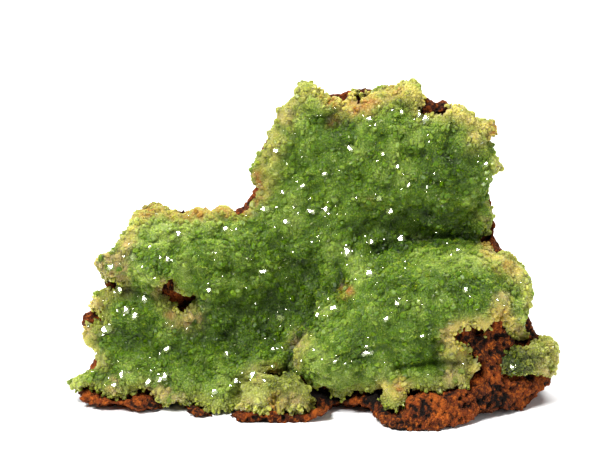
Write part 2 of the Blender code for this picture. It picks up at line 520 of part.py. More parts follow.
@dataclass
class Rock:
    """The limonite that the crusts grow on."""

    name: str
    outline: list
    crusts: tuple

    def front(self, u, v):
        """The depth of the rock's front, and whether it is bare there."""
        bare = ROCK_PLATE(u, v)
        depth = bare
        open_air = True
        for crust in self.crusts:
            reach = crust.distance(u, v) - BED_GROWTH
            share = min(1.0, max(0.0, (reach - 0.1) / (BED_STEP - 0.2)))
            if share < 1.0:
                open_air = False
                bed = crust.back(u, v) + BED_GAP
                depth = max(depth, bed + (bare - bed) * share)
        return depth, open_air

    def build(self, bed_net, material):
        """Makes the rock's object: its front with the beds in it, its rough sides, back and base."""
        loops = [self.outline]
        for crust in self.crusts:
            for growth in (BED_GROWTH, BED_GROWTH + BED_STEP):
                loops.append(grow(crust.outline, growth))
                loops += [grow(pit, -growth) for pit in crust.pits]
        points = [(u, v) for u, v, _ in bed_net if self.on_bed(u, v)]
        points += [(u, v) for u, v, _ in lattice(ROCK_SPACING, 0.35, 11) if self.on_bare_rock(u, v)]
        corners, triangles = part_sheet(loops, points, ROCK_WELD)
        bm = bmesh.new()
        for u, v in corners:
            depth, open_air = self.front(u, v)
            place = from_sight(u, v, depth)
            if open_air:
                place.y -= ROCK_GRAIN * (1.0 + rough(place, 1.7) + rough(place, 4.5))
            bm.verts.new(place)
        bm.verts.ensure_lookup_table()
        for triangle in triangles:
            middle = sum((corners[index] for index in triangle), Vector((0.0, 0.0))) / 3
            if signed_distance(self.outline, *middle) < 0.0:
                bm.faces.new([bm.verts[index] for index in triangle])
        loose = [vertex for vertex in bm.verts if not vertex.link_faces]
        bmesh.ops.delete(bm, geom=loose, context="VERTS")
        net = lattice(BACK_SPACING, 0.8, 23)
        close_behind(bm, ROCK_RINGS, self.side, lambda place: (place.x, place.z), net, self.back)
        cut = bmesh.ops.bisect_plane(
            bm, geom=bm.verts[:] + bm.edges[:] + bm.faces[:], dist=1e-5,
            plane_co=(0.0, 0.0, 0.0), plane_no=(0.0, 0.0, -1.0), clear_outer=True,
        )
        rim = [edge for edge in cut["geom_cut"] if isinstance(edge, bmesh.types.BMEdge)]
        bmesh.ops.triangle_fill(bm, use_beauty=True, use_dissolve=True, edges=rim, normal=(0, 0, -1))
        return finish_body(bm, self.name, material)

    def on_bed(self, u, v):
        """Whether a place is well inside the bed of a crust and the rock's outline."""
        if signed_distance(self.outline, u, v) > -0.5:
            return False
        return any(crust.distance(u, v) < -BED_MARGIN for crust in self.crusts)

    def on_bare_rock(self, u, v):
        """Whether a place is on bare rock, clear of the outline and of every step."""
        if signed_distance(self.outline, u, v) > -0.5:
            return False
        clear = BED_GROWTH + BED_STEP + 0.5
        return all(crust.distance(u, v) > clear for crust in self.crusts)

    @staticmethod
    def side(front, ring):
        """The corners of a ring of the rock's sides, from those of its front edge."""
        seen = [Vector(to_sight(place)) for place in front]
        pairs = []
        for corner, target in SIDE_CORNERS:
            nearest = min(range(len(seen)), key=lambda index: (seen[index] - Vector(corner)).length)
            pairs.append((nearest, Vector(target)))
        pairs.sort(key=lambda pair: pair[0])
        share = ring / ROCK_RINGS
        row = [None] * len(front)
        for number, (first, target) in enumerate(pairs):
            last, next_target = pairs[(number + 1) % len(pairs)]
            count = (last - first) % len(front)
            for step in range(count):
                index = (first + step) % len(front)
                x, z = target + (next_target - target) * (step / count)
                row[index] = Rock.side_corner(front[index], Vector((x, back_depth(x, z), z)), share)
        return row

    @staticmethod
    def side_corner(place, target, share):
        """A corner of the rock's side, this share of the way from its front to its back."""
        down = min(1.0, BASE_SLOPE * share) if target.z < 0.0 else share
        corner = place.lerp(target, share)
        corner.z = place.z + (target.z - place.z) * down
        outward = corner - ROCK_MIDDLE
        outward.y = 0.0
        swell = SIDE_SWELL * math.sin(math.pi * share) * (1.0 + rough(corner, 9.0))
        grain = 0.6 * rough(corner, 3.1) + 0.9 * math.sin(math.pi * share) * rough(corner, 6.5)
        corner += outward.normalized() * (swell + grain)
        corner.y += math.sin(math.pi * share) * rough(corner + Vector((0.0, 40.0, 0.0)), 3.5)
        return corner

    @staticmethod
    def back(x, z):
        """A corner of the rock's back."""
        return Vector((x, back_depth(x, z), z))


def main():
    """Builds the rock and its crusts, and moves them so that the origin is under their middle."""
    clear_scene()
    adamite = new_material("adamite_druse", (0.25, 0.38, 0.10), 0.35)
    pale_adamite = new_material("pale_adamite", (0.46, 0.50, 0.20), 0.4)
    limonite = new_material("limonite", (0.30, 0.09, 0.025), 0.85)

    bed_net = lattice(BED_SPACING, 0.5, 3)
    crust = Crust(
        "adamite_crust", resample(CRUST_OUTLINE, seed=7), CRUST_PLATE,
        lambda u, v: CRUST_PLATE(u, v) + CRUST_THICKNESS, seed=21,
        tip_spacing=CRYSTAL_SPACING, pits=(resample(PIT_OUTLINE, seed=8),),
    )
    tuft = Crust("front_tuft", resample(TUFT_OUTLINE, seed=9), tuft_front, tuft_back, seed=22)
    tip = Crust(
        "right_tip_crust", resample(TIP_OUTLINE, seed=10), TIP_PLATE,
        lambda u, v: TIP_PLATE(u, v) + TIP_THICKNESS, seed=24,
    )
    crusts = (crust, tuft, tip)
    rock = Rock("limonite_matrix", resample(ROCK_OUTLINE, seed=12, longest=ROCK_EDGE_SPACING), crusts)

    bodies = [
        crust.build(bed_net, adamite),
        tuft.build(bed_net, pale_adamite),
        tip.build(bed_net, pale_adamite),
        rock.build(bed_net, limonite),
    ]
    corners = np.array([corner.co for body in bodies for corner in body.data.vertices])
    middle = 0.5 * (corners.min(axis=0) + corners.max(axis=0))
    for body in bodies:
        for corner in body.data.vertices:
            corner.co.x -= middle[0]
            corner.co.y -= middle[1]


main()
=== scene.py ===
"""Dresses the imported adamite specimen: rusty limonite, sugary green crusts, and a plain studio.

Meshes are worked on in millimetres, in the frame's own axes. Places on the specimen are given as it
is seen from its front, SIGHT_ELEVATION above the horizon: u to the right and v upwards, measured
from the point that Sight names.
"""

import logging
import math
from dataclasses import dataclass, field
from enum import Enum

import bpy
import numpy as np
from mathutils import Matrix, Vector, noise
from mathutils.bvhtree import BVHTree
from mathutils.kdtree import KDTree


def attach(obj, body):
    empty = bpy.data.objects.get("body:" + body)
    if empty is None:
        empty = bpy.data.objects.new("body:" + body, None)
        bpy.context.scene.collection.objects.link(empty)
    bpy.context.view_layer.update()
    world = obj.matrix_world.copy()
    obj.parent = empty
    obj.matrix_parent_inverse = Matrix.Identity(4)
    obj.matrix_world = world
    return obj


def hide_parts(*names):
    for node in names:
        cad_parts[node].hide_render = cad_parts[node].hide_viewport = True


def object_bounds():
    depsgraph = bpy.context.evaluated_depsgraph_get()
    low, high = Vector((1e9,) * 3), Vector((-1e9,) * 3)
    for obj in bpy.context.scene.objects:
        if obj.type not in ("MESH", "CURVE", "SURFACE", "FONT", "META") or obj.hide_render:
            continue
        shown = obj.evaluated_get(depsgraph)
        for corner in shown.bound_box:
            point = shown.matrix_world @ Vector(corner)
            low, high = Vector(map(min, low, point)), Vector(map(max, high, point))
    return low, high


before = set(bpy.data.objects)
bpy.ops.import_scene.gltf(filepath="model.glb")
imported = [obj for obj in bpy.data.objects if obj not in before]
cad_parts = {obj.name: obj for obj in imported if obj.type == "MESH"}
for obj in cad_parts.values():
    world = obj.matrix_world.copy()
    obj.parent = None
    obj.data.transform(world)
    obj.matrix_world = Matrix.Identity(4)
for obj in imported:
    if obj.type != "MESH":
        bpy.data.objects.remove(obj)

CAD_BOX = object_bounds()
MM = 0.001
SIGHT_ELEVATION = math.radians(15.0)
SIGHT_START = -30.0  # the depth at which lines of sight start, in front of everything
NET_TURNS = ((0.6, "X"), (0.45, "Y"), (0.3, "Z"))  # so that a net's rows line up with nothing
KEY_LAMP = (-0.35, -0.55, 0.75)
ROOT = "root"

log = logging.getLogger("adamite")


def linear(code: str) -> tuple[float, float, float, float]:
    """Turns an sRGB hex colour to the linear values that a shader takes.

    Args:
        code: The colour as #rrggbb.

    Returns:
        Red, green, blue and an alpha of 1.
    """
    channels = [int(code[start:start + 2], 16) / 255.0 for start in (1, 3, 5)]
    curved = [c / 12.92 if c <= 0.04045 else ((c + 0.055) / 1.055) ** 2.4 for c in channels]
    return (*curved, 1.0)


def add_node(tree: bpy.types.NodeTree, kind: str, settings: dict | None = None,
             inputs: dict | None = None) -> bpy.types.Node:
    """Adds a node with its settings and links.

    Args:
        tree: The node tree that it goes into.
        kind: Blender's name for the kind of node.
        settings: Values for the node's own properties.
        inputs: For each input, by name or number, a value or the output that feeds it.

    Returns:
        The node.
    """
    node = tree.nodes.new(kind)
    for name, value in (settings or {}).items():
        setattr(node, name, value)
    for name, value in (inputs or {}).items():
        if isinstance(value, bpy.types.NodeSocket):
            tree.links.new(value, node.inputs[name])
        else:
            node.inputs[name].default_value = value
    return node


def new_material(name: str) -> tuple[bpy.types.Material, bpy.types.NodeTree]:
    """Makes a material whose tree holds no nodes yet.

    Args:
        name: The material's name.

    Returns:
        The material and its node tree.
    """
    material = bpy.data.materials.new(name)
    material.use_nodes = True
    material.node_tree.nodes.clear()
    return material, material.node_tree


@dataclass(frozen=True)
class Sight:
    """How the specimen is seen from its front, and where the frame's origin lies in that view."""

    origin_u: float = 0.07
    origin_depth: float = 21.17

    def project(self, points: np.ndarray) -> np.ndarray:
        """Gives the u and v at which points are seen.

        Args:
            points: Places in the frame, in millimetres.

        Returns:
            One row of u and v for each place.
        """
        u = points[:, 0] - self.origin_u
        v = points[:, 2] * math.cos(SIGHT_ELEVATION)
        v = v + (points[:, 1] + self.origin_depth) * math.sin(SIGHT_ELEVATION)
        return np.stack((u, v), axis=1)

    def place(self, u: float, v: float, depth: float) -> Vector:
        """Gives the place of a point seen at (u, v), at a depth behind the foremost foot."""
        height = (v - depth * math.sin(SIGHT_ELEVATION)) / math.cos(SIGHT_ELEVATION)
        return Vector((u + self.origin_u, depth - self.origin_depth, height))


SIGHT = Sight()
SIGHT_LINE = Vector((0.0, math.cos(SIGHT_ELEVATION), -math.sin(SIGHT_ELEVATION)))


@dataclass
class Skin:
    """A triangle mesh, in millimetres, with a value for each corner under each name."""

    points: np.ndarray
    faces: np.ndarray
    values: dict[str, np.ndarray] = field(default_factory=dict)

    def normals(self) -> np.ndarray:
        """Works out which way the skin faces.

        Returns:
            The outward direction at each corner.
        """
        a, b, c = (self.points[self.faces[:, k]] for k in range(3))
        crosses = np.cross(b - a, c - a)
        sums = np.zeros_like(self.points)
        for k in range(3):
            np.add.at(sums, self.faces[:, k], crosses)
        return unit(sums)

    def face_normals(self) -> np.ndarray:
        """Gives the outward direction of each face."""
        a, b, c = (self.points[self.faces[:, k]] for k in range(3))
        return unit(np.cross(b - a, c - a))

    def centres(self) -> np.ndarray:
        """Gives the middle of each face."""
        return self.points[self.faces].mean(axis=1)

    def only(self, kept: np.ndarray) -> "Skin":
        """Gives the part of the skin that some of its faces make.

        Args:
            kept: Whether each face is kept.

        Returns:
            A skin of these faces and their corners.
        """
        faces = self.faces[kept]
        used, renamed = np.unique(faces, return_inverse=True)
        values = {name: value[used] for name, value in self.values.items()}
        return Skin(self.points[used], renamed.reshape(faces.shape), values)

    def tree(self) -> BVHTree:
        """Gives a tree that finds where rays meet the skin."""
        return BVHTree.FromPolygons(self.points.tolist(), self.faces.tolist())

    def largest(self) -> "Skin":
        """Leaves out loose scraps.

        Returns:
            The largest connected part of the skin.
        """
        labels = np.arange(len(self.points))
        while True:
            lower = labels.copy()
            lowest = labels[self.faces].min(axis=1)
            for k in range(3):
                np.minimum.at(lower, self.faces[:, k], lowest)
            lower = lower[lower]
            if np.array_equal(lower, labels):
                break
            labels = lower
        part = labels[self.faces[:, 0]]
        names, sizes = np.unique(part, return_counts=True)
        return self.only(part == names[sizes.argmax()])

    def spread(self, rows: np.ndarray, rounds: int) -> np.ndarray:
        """Evens out values over the skin.

        Args:
            rows: A row of values for each corner.
            rounds: How many times each takes on half of its neighbours' average.

        Returns:
            The evened rows.
        """
        starts = np.concatenate((self.faces.reshape(-1), self.faces[:, (1, 2, 0)].reshape(-1)))
        ends = np.concatenate((self.faces[:, (1, 2, 0)].reshape(-1), self.faces.reshape(-1)))
        count = len(self.points)
        shares = np.maximum(np.bincount(starts, minlength=count), 1)
        for _ in range(rounds):
            sums = [np.bincount(starts, weights=column[ends], minlength=count) for column in rows.T]
            rows = 0.5 * rows + 0.5 * np.stack(sums, axis=1) / shares[:, None]
        return rows

    def joined(self, other: "Skin") -> "Skin":
        """Puts this skin and another together.

        Args:
            other: The other skin.

        Returns:
            Both as one, with the values that both have.
        """
        values = {name: np.concatenate((value, other.values[name]))
                  for name, value in self.values.items() if name in other.values}
        points = np.concatenate((self.points, other.points))
        return Skin(points, np.concatenate((self.faces, other.faces + len(self.points))), values)

    def mesh(self, name: str) -> bpy.types.Mesh:
        """Makes the mesh.

        Args:
            name: The mesh's name.

        Returns:
            The mesh, in metres, with the values as attributes of its corners.
        """
        mesh = bpy.data.meshes.new(name)
        mesh.from_pydata((self.points * MM).tolist(), [], self.faces.tolist())
        for label, value in self.values.items():
            layer = mesh.attributes.new(label, "FLOAT", "POINT")
            layer.data.foreach_set("value", value.astype(np.float32))
        return mesh

    def make(self, name: str, smooth: bool) -> bpy.types.Object:
        """Makes the object, kept inside the CAD model's box.

        Args:
            name: The object's name.
            smooth: Whether its faces are shaded smooth.

        Returns:
            The object, linked into the scene.
        """
        low, high = (np.array(corner) / MM for corner in CAD_BOX)
        mesh = Skin(np.clip(self.points, low, high), self.faces, self.values).mesh(name)
        mesh.polygons.foreach_set("use_smooth", np.full(len(self.faces), smooth))
        mesh.update()
        return link(mesh)


def link(mesh: bpy.types.Mesh) -> bpy.types.Object:
    """Puts a mesh into the scene.

    Args:
        mesh: The mesh.

    Returns:
        An object of the mesh's name that shows it.
    """
    thing = bpy.data.objects.new(mesh.name, mesh)
    bpy.context.scene.collection.objects.link(thing)
    return thing


def unit(rows: np.ndarray) -> np.ndarray:
    """Scales each row to a length of one."""
    return rows / np.maximum(np.linalg.norm(rows, axis=-1, keepdims=True), 1e-9)


def read_skin(thing: bpy.types.Object) -> Skin:
    """Reads an object as its modifiers leave it.

    Args:
        thing: The object, in metres.

    Returns:
        Its skin, in millimetres.
    """
    graph = bpy.context.evaluated_depsgraph_get()
    shape = thing.evaluated_get(graph)
    mesh = shape.to_mesh()
    mesh.calc_loop_triangles()
    points = np.empty(len(mesh.vertices) * 3)
    mesh.vertices.foreach_get("co", points)
    faces = np.empty(len(mesh.loop_triangles) * 3, dtype=np.int32)
    mesh.loop_triangles.foreach_get("vertices", faces)
    shape.to_mesh_clear()
    return Skin(points.reshape(-1, 3) / MM, faces.reshape(-1, 3))


def resurface(shape: Skin, spacing: float, rounds: int) -> Skin:
    """Covers closed shapes with one even net of corners and rounds it off.

    Args:
        shape: The shapes, which may run into each other.
        spacing: The distance between corners, in millimetres.
        rounds: How many times each corner moves half-way to the middle of its neighbours.

    Returns:
        The outermost net.
    """
    tilt, roll, swing = (Matrix.Rotation(angle, 3, axis) for angle, axis in NET_TURNS)
    turn = np.array(tilt @ roll @ swing)
    thing = link(Skin(shape.points @ turn.T, shape.faces).mesh("turned"))
    net = thing.modifiers.new("net", "REMESH")
    net.mode = "VOXEL"
    net.voxel_size = spacing * MM
    rounding = thing.modifiers.new("rounding", "SMOOTH")
    rounding.factor = 0.5
    rounding.iterations = rounds
    skin = read_skin(thing)
    mesh = thing.data
    bpy.data.objects.remove(thing)
    bpy.data.meshes.remove(mesh)
    return Skin(skin.points @ turn, skin.faces)


def domes(points: np.ndarray, size: float) -> np.ndarray:
    """Gives how far each place stands up in a heap of rounded lumps.

    Args:
        points: The places.
        size: The width of a lump, in millimetres.

    Returns:
        From about 0 in the grooves to 1 on the crowns.
    """
    reach = np.array([noise.voronoi(Vector(p) / size)[0][0] for p in points])
    return 1.0 - np.minimum(reach / 0.8, 1.0) ** 2


def distances(points: np.ndarray, others: np.ndarray) -> np.ndarray:
    """Gives how far each place is from the nearest of some others.

    Args:
        points: The places.
        others: The places to find the nearest of.

    Returns:
        One distance for each of the points.
    """
    tree = KDTree(len(others))
    for number, other in enumerate(others):
        tree.insert(Vector(other), number)
    tree.balance()
    return np.array([tree.find(Vector(point))[2] for point in points])


def rough(points: np.ndarray, size: float) -> np.ndarray:
    """Gives an even noise from -1 to 1 whose bumps are about this many millimetres wide."""
    return np.array([noise.noise(Vector(p) / size) for p in points])


@dataclass(frozen=True)
class LimoniteFinish:
    """Limonite: an earthy iron hydroxide, broken, with no polish.

    Its grains are matt, each its own shade of rust. Ochre dust lies on the proud ones, and the pores
    between them are nearly black.
    """

    name: str = "limonite_broken_earthy"
    rust: str = "#6c2d08"
    ochre: str = "#9c5014"
    liver: str = "#2c1005"
    pore: str = "#0c0502"
    roughness: float = 0.92
    ior: float = 1.6  # lower than that of the solid mineral, since its dust scatters what it reflects
    specular: float = 0.12
    wash_mm: float = 15.0
    patch_mm: float = 5.0
    # Earthy limonite is grained at about 0.1 mm. That is too fine to show, so both are drawn coarser.
    grain_mm: float = 0.4
    speck_mm: float = 0.5
    bump_mm: float = 0.35

    def material(self) -> bpy.types.Material:
        """Makes the material.

        Returns:
            The material.
        """
        material, tree = new_material(self.name)
        place = add_node(tree, "ShaderNodeTexCoord").outputs["Object"]
        kinds = (
            (self.wash_mm, {"Detail": 3.0, "Distortion": 0.6}),
            (self.patch_mm, {"Detail": 4.0, "Roughness": 0.6}),
            (self.speck_mm, {"Detail": 4.0, "Roughness": 0.75}),
        )
        wash, patches, specks = (
            add_node(tree, "ShaderNodeTexNoise", inputs={
                "Vector": place, "Scale": 1.0 / (size * MM), **kind}).outputs["Fac"]
            for size, kind in kinds)
        grains = add_node(tree, "ShaderNodeTexVoronoi", inputs={
            "Vector": place, "Scale": 1.0 / (self.grain_mm * MM)})
        mottled = add_node(tree, "ShaderNodeMath", {"operation": "MULTIPLY_ADD"}, {
            0: wash, 1: 1.3, 2: patches}).outputs["Value"]
        relief = add_node(tree, "ShaderNodeAttribute", {"attribute_name": "relief"})
        speckle = add_node(tree, "ShaderNodeMath", {"operation": "MULTIPLY_ADD"}, {
            0: specks, 1: 1.1, 2: relief.outputs["Fac"]}).outputs["Value"]
        colour = linear(self.liver)
        # Each layer: the value that decides its cover, where that is none and full, how much full is, and
        # its colour.
        for value, none, full, most, layer in (
                (mottled, 1.02, 1.33, 1.0, self.rust),
                (mottled, 1.3, 1.6, 0.7, self.ochre),
                (grains.outputs["Color"], 0.5, 0.95, 1.0, self.ochre),
                # The pore colour follows the relief value, so it also carries the painted shade under the
                # lobe's arch.
                (speckle, 1.08, 0.74, 1.0, self.pore)):
            cover = add_node(tree, "ShaderNodeMapRange", inputs={
                "Value": value, "From Min": none, "From Max": full, "To Max": most})
            colour = add_node(tree, "ShaderNodeMix", {"data_type": "RGBA"}, {
                0: cover.outputs["Result"], 6: colour, 7: linear(layer)}).outputs[2]
        rounded = add_node(tree, "ShaderNodeMath", {"operation": "SUBTRACT"}, {
            0: specks, 1: grains.outputs["Distance"]})
        bump = add_node(tree, "ShaderNodeBump", inputs={
            "Height": rounded.outputs["Value"], "Strength": 1.0, "Distance": self.bump_mm * MM})
        shader = add_node(tree, "ShaderNodeBsdfPrincipled", inputs={
            "Base Color": colour, "Roughness": self.roughness, "IOR": self.ior,
            "Specular IOR Level": self.specular, "Metallic": 0.0, "Normal": bump.outputs["Normal"]})
        add_node(tree, "ShaderNodeOutputMaterial", inputs={"Surface": shader.outputs["BSDF"]})
        return material


@dataclass(frozen=True)
class AdamiteFinish:
    """Adamite: zinc arsenate crystals, tinted green by copper, with clean faces as they grew.

    Light goes a millimetre or so into them, so that the crust glows like coarse sugar, and any
    face that meets a lamp flashes white.
    """

    name: str
    # The darkest green, which the painted shade in crevices, hollows and grooves runs down to.
    deep_shade: str = "#1b3002"
    body: str = "#405b06"
    milk: str = "#7b8b3b"
    rim: str = "#a0934a"
    stain: str = "#80501c"
    beige: str = "#9a8454"
    clear_roughness: float = 0.07
    frosted_roughness: float = 0.5
    ior: float = 1.72
    specular: float = 0.12  # low, since a face this small sends a lamp's light to one side or another
    depth_mm: tuple = (1.3, 1.5, 0.5)
    body_range: tuple = (0.08, 0.62)
    milk_range: tuple = (0.56, 1.12)

    def material(self) -> bpy.types.Material:
        """Makes the material.

        Returns:
            The material.
        """
        material, tree = new_material(self.name)
        told = {label: add_node(tree, "ShaderNodeAttribute", {"attribute_name": label}).outputs["Fac"]
                for label in ("grain", "tip", "tone_and_shade", "edge", "rust", "cream")}
        lightness = told["tone_and_shade"]
        # Painted light and shade: crystals are lighter at their crests and where they stand proud, and
        # darker in the valleys between them.
        for label, share in (("grain", 0.24), ("tip", 0.1)):
            lightness = add_node(tree, "ShaderNodeMath", {"operation": "MULTIPLY_ADD"}, {
                0: told[label], 1: share, 2: lightness}).outputs["Value"]
        covers = [add_node(tree, "ShaderNodeMapRange", inputs={
            "Value": lightness, "From Min": none, "From Max": full}).outputs["Result"]
            for none, full in (self.body_range, self.milk_range)]
        covers += [told[label] for label in ("edge", "rust", "cream")]
        colour = linear(self.deep_shade)
        for cover, layer in zip(covers, (self.body, self.milk, self.rim, self.stain, self.beige)):
            colour = add_node(tree, "ShaderNodeMix", {"data_type": "RGBA"}, {
                0: cover, 6: colour, 7: linear(layer)}).outputs[2]
        frost = add_node(tree, "ShaderNodeMapRange", inputs={
            "Value": told["grain"], "From Min": 0.6,
            "To Min": self.frosted_roughness, "To Max": self.clear_roughness})
        shader = add_node(tree, "ShaderNodeBsdfPrincipled", inputs={
            "Base Color": colour, "Roughness": frost.outputs["Result"], "IOR": self.ior,
            "Specular IOR Level": self.specular, "Metallic": 0.0, "Subsurface Weight": 1.0,
            "Subsurface Radius": self.depth_mm, "Subsurface Scale": MM})
        add_node(tree, "ShaderNodeOutputMaterial", inputs={"Surface": shader.outputs["BSDF"]})
        return material


@dataclass(frozen=True)
class ClearAdamiteFinish:
    """Adamite: the few larger crystals, clear enough to see into, with bright faces as they grew.

    Each shows the green crust through itself, and a face that meets a lamp flashes white.
    """

    name: str = "adamite_clear_as_grown"
    tint: str = "#c4d68a"
    roughness: float = 0.04
    ior: float = 1.72

    def material(self) -> bpy.types.Material:
        """Makes the material.

        Returns:
            The material.
        """
        material, tree = new_material(self.name)
        shader = add_node(tree, "ShaderNodeBsdfPrincipled", inputs={
            "Base Color": linear(self.tint), "Roughness": self.roughness, "IOR": self.ior,
            "Metallic": 0.0, "Transmission Weight": 0.75})
        add_node(tree, "ShaderNodeOutputMaterial", inputs={"Surface": shader.outputs["BSDF"]})
        return material


@dataclass(frozen=True)
class PaperFinish:
    """White matt paper under the specimen: an even ground that holds a soft shadow."""

    name: str = "white_paper_matt"
    white: str = "#f4f4f4"

    def material(self) -> bpy.types.Material:
        """Makes the material.

        Returns:
            The material.
        """
        material, tree = new_material(self.name)
        shader = add_node(tree, "ShaderNodeBsdfPrincipled", inputs={
            "Base Color": linear(self.white), "Roughness": 0.9, "Specular IOR Level": 0.1})
        add_node(tree, "ShaderNodeOutputMaterial", inputs={"Surface": shader.outputs["BSDF"]})
        return material


@dataclass(frozen=True)
class Mark:
    """A stroke over the crust, seen from the front, along which one colour or form is strongest."""

    places: tuple
    width: float
    strength: float = 1.0

    def weight(self, seen: np.ndarray) -> np.ndarray:
        """Gives the mark's strength at places seen at these u and v.

        Args:
            seen: The u and v of each place.

        Returns:
            The strength at each, which falls off on both sides of the stroke.
        """
        places = np.array(self.places, dtype=float)
        nearest = np.full(len(seen), np.inf)
        for start, end in zip(places, places[1:] if len(places) > 1 else places):
            way = end - start
            share = np.clip(((seen - start) @ way) / max(float(way @ way), 1e-9), 0.0, 1.0)
            nearest = np.minimum(nearest, np.linalg.norm(seen - start - share[:, None] * way, axis=1))
        return self.strength * np.exp(-(nearest / self.width) ** 2)


def marks(*rows: tuple) -> tuple[Mark, ...]:
    """Makes marks of rows that each give a width, a strength, and then a u and a v for each place."""
    return tuple(Mark(tuple(zip(row[2::2], row[3::2])), row[0], row[1]) for row in rows)


def strongest(strokes: tuple[Mark, ...], seen: np.ndarray) -> np.ndarray:
    """Gives the strength of the strongest mark at places seen at these u and v."""
    return np.max([stroke.weight(seen) for stroke in strokes], axis=0)


def within(outline: tuple, seen: np.ndarray, margin: float = 0.0) -> np.ndarray:
    """Tells which places are seen inside an outline.

    Args:
        outline: The outline's corners, as u and v.
        seen: The u and v of each place.
        margin: How far outside it a place may lie, in millimetres.

    Returns:
        Whether each is inside.
    """
    if margin > 0.0:
        turns = np.linspace(0.0, 2.0 * math.pi, 9)[:-1]
        ways = np.stack((np.cos(turns), np.sin(turns)), axis=1)
        around = [within(outline, seen + margin * way) for way in ways]
        return np.any(around, axis=0) | within(outline, seen)
    inside = np.zeros(len(seen), dtype=bool)
    u, v = seen[:, 0], seen[:, 1]
    for index, (end_u, end_v) in enumerate(outline):
        start_u, start_v = outline[index - 1]
        if start_v == end_v:
            continue
        spans = (start_v > v) != (end_v > v)
        crossing = start_u + (v - start_v) / (end_v - start_v) * (end_u - start_u)
        inside ^= spans & (u < crossing)
    return inside


@dataclass(frozen=True)
class Break:
    """A place where the crust is broken away and rock shows.

    The rock there lies sink behind the crust's face, or where the CAD rock has it if sink is None. The
    crust draws back from the outline by retreat, and the rock fills it to depth behind its face.
    """

    outline: tuple
    sink: float | None = None
    depth: float = 8.0
    retreat: float = 0.9
    face_depth: float | None = None
    slack: float = 2.5
    step: float = 0.6

    def plug(self, face: BVHTree) -> Skin:
        """Makes the block of rock that fills the break.

        Args:
            face: The crust's face, before it was broken.

        Returns:
            A closed block.
        """
        corners = np.array(self.outline)
        low, high = corners.min(axis=0) - self.retreat, corners.max(axis=0) + self.retreat
        us = np.arange(low[0], high[0] + self.step, self.step)
        vs = np.arange(low[1], high[1] + self.step, self.step)
        seen = np.array([(u, v) for u in us for v in vs])
        kept = within(self.outline, seen, self.retreat)
        way = [face.ray_cast(SIGHT.place(u, v, SIGHT_START), SIGHT_LINE)[3] for u, v in seen]
        depth = np.array([np.nan if gap is None else gap + SIGHT_START for gap in way])
        if self.face_depth is not None:
            depth[:] = self.face_depth
        known = depth < np.nanmedian(depth[kept]) + self.slack
        kept &= known | within(self.outline, seen)
        for index in np.flatnonzero(~known):
            depth[index] = depth[known][((seen[known] - seen[index]) ** 2).sum(axis=1).argmin()]
        depth = depth.reshape(len(us), len(vs))
        for _ in range(3):
            wide = np.pad(depth, 1, mode="edge")
            depth = (wide[:-2, 1:-1] + wide[2:, 1:-1] + wide[1:-1, :-2] + wide[1:-1, 2:] + depth) / 5.0
        gaps = depth.reshape(-1) + self.sink
        front = np.array([SIGHT.place(u, v, gap) for (u, v), gap in zip(seen, gaps)])
        count = len(seen)
        faces = []
        cells = {}
        for i, j in np.ndindex(len(us) - 1, len(vs) - 1):
            first = i * len(vs) + j
            square = (first, first + len(vs), first + len(vs) + 1, first + 1)
            if kept[list(square)].all():
                cells[i, j] = square
        for (i, j), (a, b, c, d) in cells.items():
            faces += [(a, b, c), (a, c, d)]
            faces += [(count + a, count + c, count + b), (count + a, count + d, count + c)]
            sides = (((i, j - 1), a, b), ((i + 1, j), b, c), ((i, j + 1), c, d), ((i - 1, j), d, a))
            for beside, one, two in sides:
                if beside not in cells:
                    faces += [(two, one, count + one), (two, count + one, count + two)]
        points = np.concatenate((front, front + np.array(SIGHT_LINE) * self.depth))
        faces = np.array(faces, dtype=np.int64).reshape(-1, 3)
        return Skin(points, faces).only(np.ones(len(faces), dtype=bool))


ARM = Break((
    (25.4, 16.7), (26.6, 17.9), (28.3, 18.7), (30.1, 17.5), (32.1, 17.4), (33.0, 19.2), (34.1, 20.3),
    (34.9, 18.7), (36.3, 17.3), (37.4, 15.9), (35.9, 14.2), (34.2, 12.2), (34.2, 10.4), (35.2, 8.8),
    (27.6, 7.4), (28.2, 8.8), (30.7, 10.5), (30.0, 12.1), (28.8, 14.0), (28.1, 15.5)), sink=0.3)
NOTCH = Break((
    (-42.8, 21.4), (-41.3, 22.0), (-39.7, 21.6), (-38.8, 20.4), (-39.6, 18.9), (-41.2, 18.1),
    (-43.2, 18.6)), sink=1.3, depth=4.0, retreat=0.3)
UNDER_KNOB = Break((
    (-38.9, 27.7), (-37.4, 27.6), (-35.8, 26.6), (-35.4, 25.7), (-36.6, 25.0), (-38.4, 25.6)),
    sink=1.1, depth=4.0, retreat=0.3)
PIT = Break((
    (-27.8, 24.0), (-26.2, 24.6), (-24.6, 24.0), (-23.5, 23.2), (-23.7, 20.8), (-24.6, 20.6),
    (-25.4, 22.0), (-26.6, 22.8)), retreat=0.1)
TOP_PATCH = Break((
    (19.4, 58.2), (20.2, 59.8), (21.6, 60.6), (24.4, 60.3), (25.4, 59.4), (24.2, 58.7), (22.4, 57.8),
    (20.6, 57.4)), sink=0.6, depth=5.0, retreat=0.4)
TOP_CHIPS = tuple(Break(outline, retreat=0.3) for outline in (
    ((19.8, 60.0), (21.4, 63.8), (25.8, 63.4), (26.4, 60.0), (24.0, 59.6)),
    ((1.2, 61.6), (1.8, 62.8), (5.4, 62.4), (5.2, 60.0), (4.0, 60.2), (2.2, 61.0)),
    ((6.4, 62.0), (8.5, 63.4), (11.4, 62.4), (9.4, 61.0), (8.4, 59.6), (7.2, 60.8))))
BREAKS = (ARM, NOTCH, UNDER_KNOB, PIT, TOP_PATCH, *TOP_CHIPS)
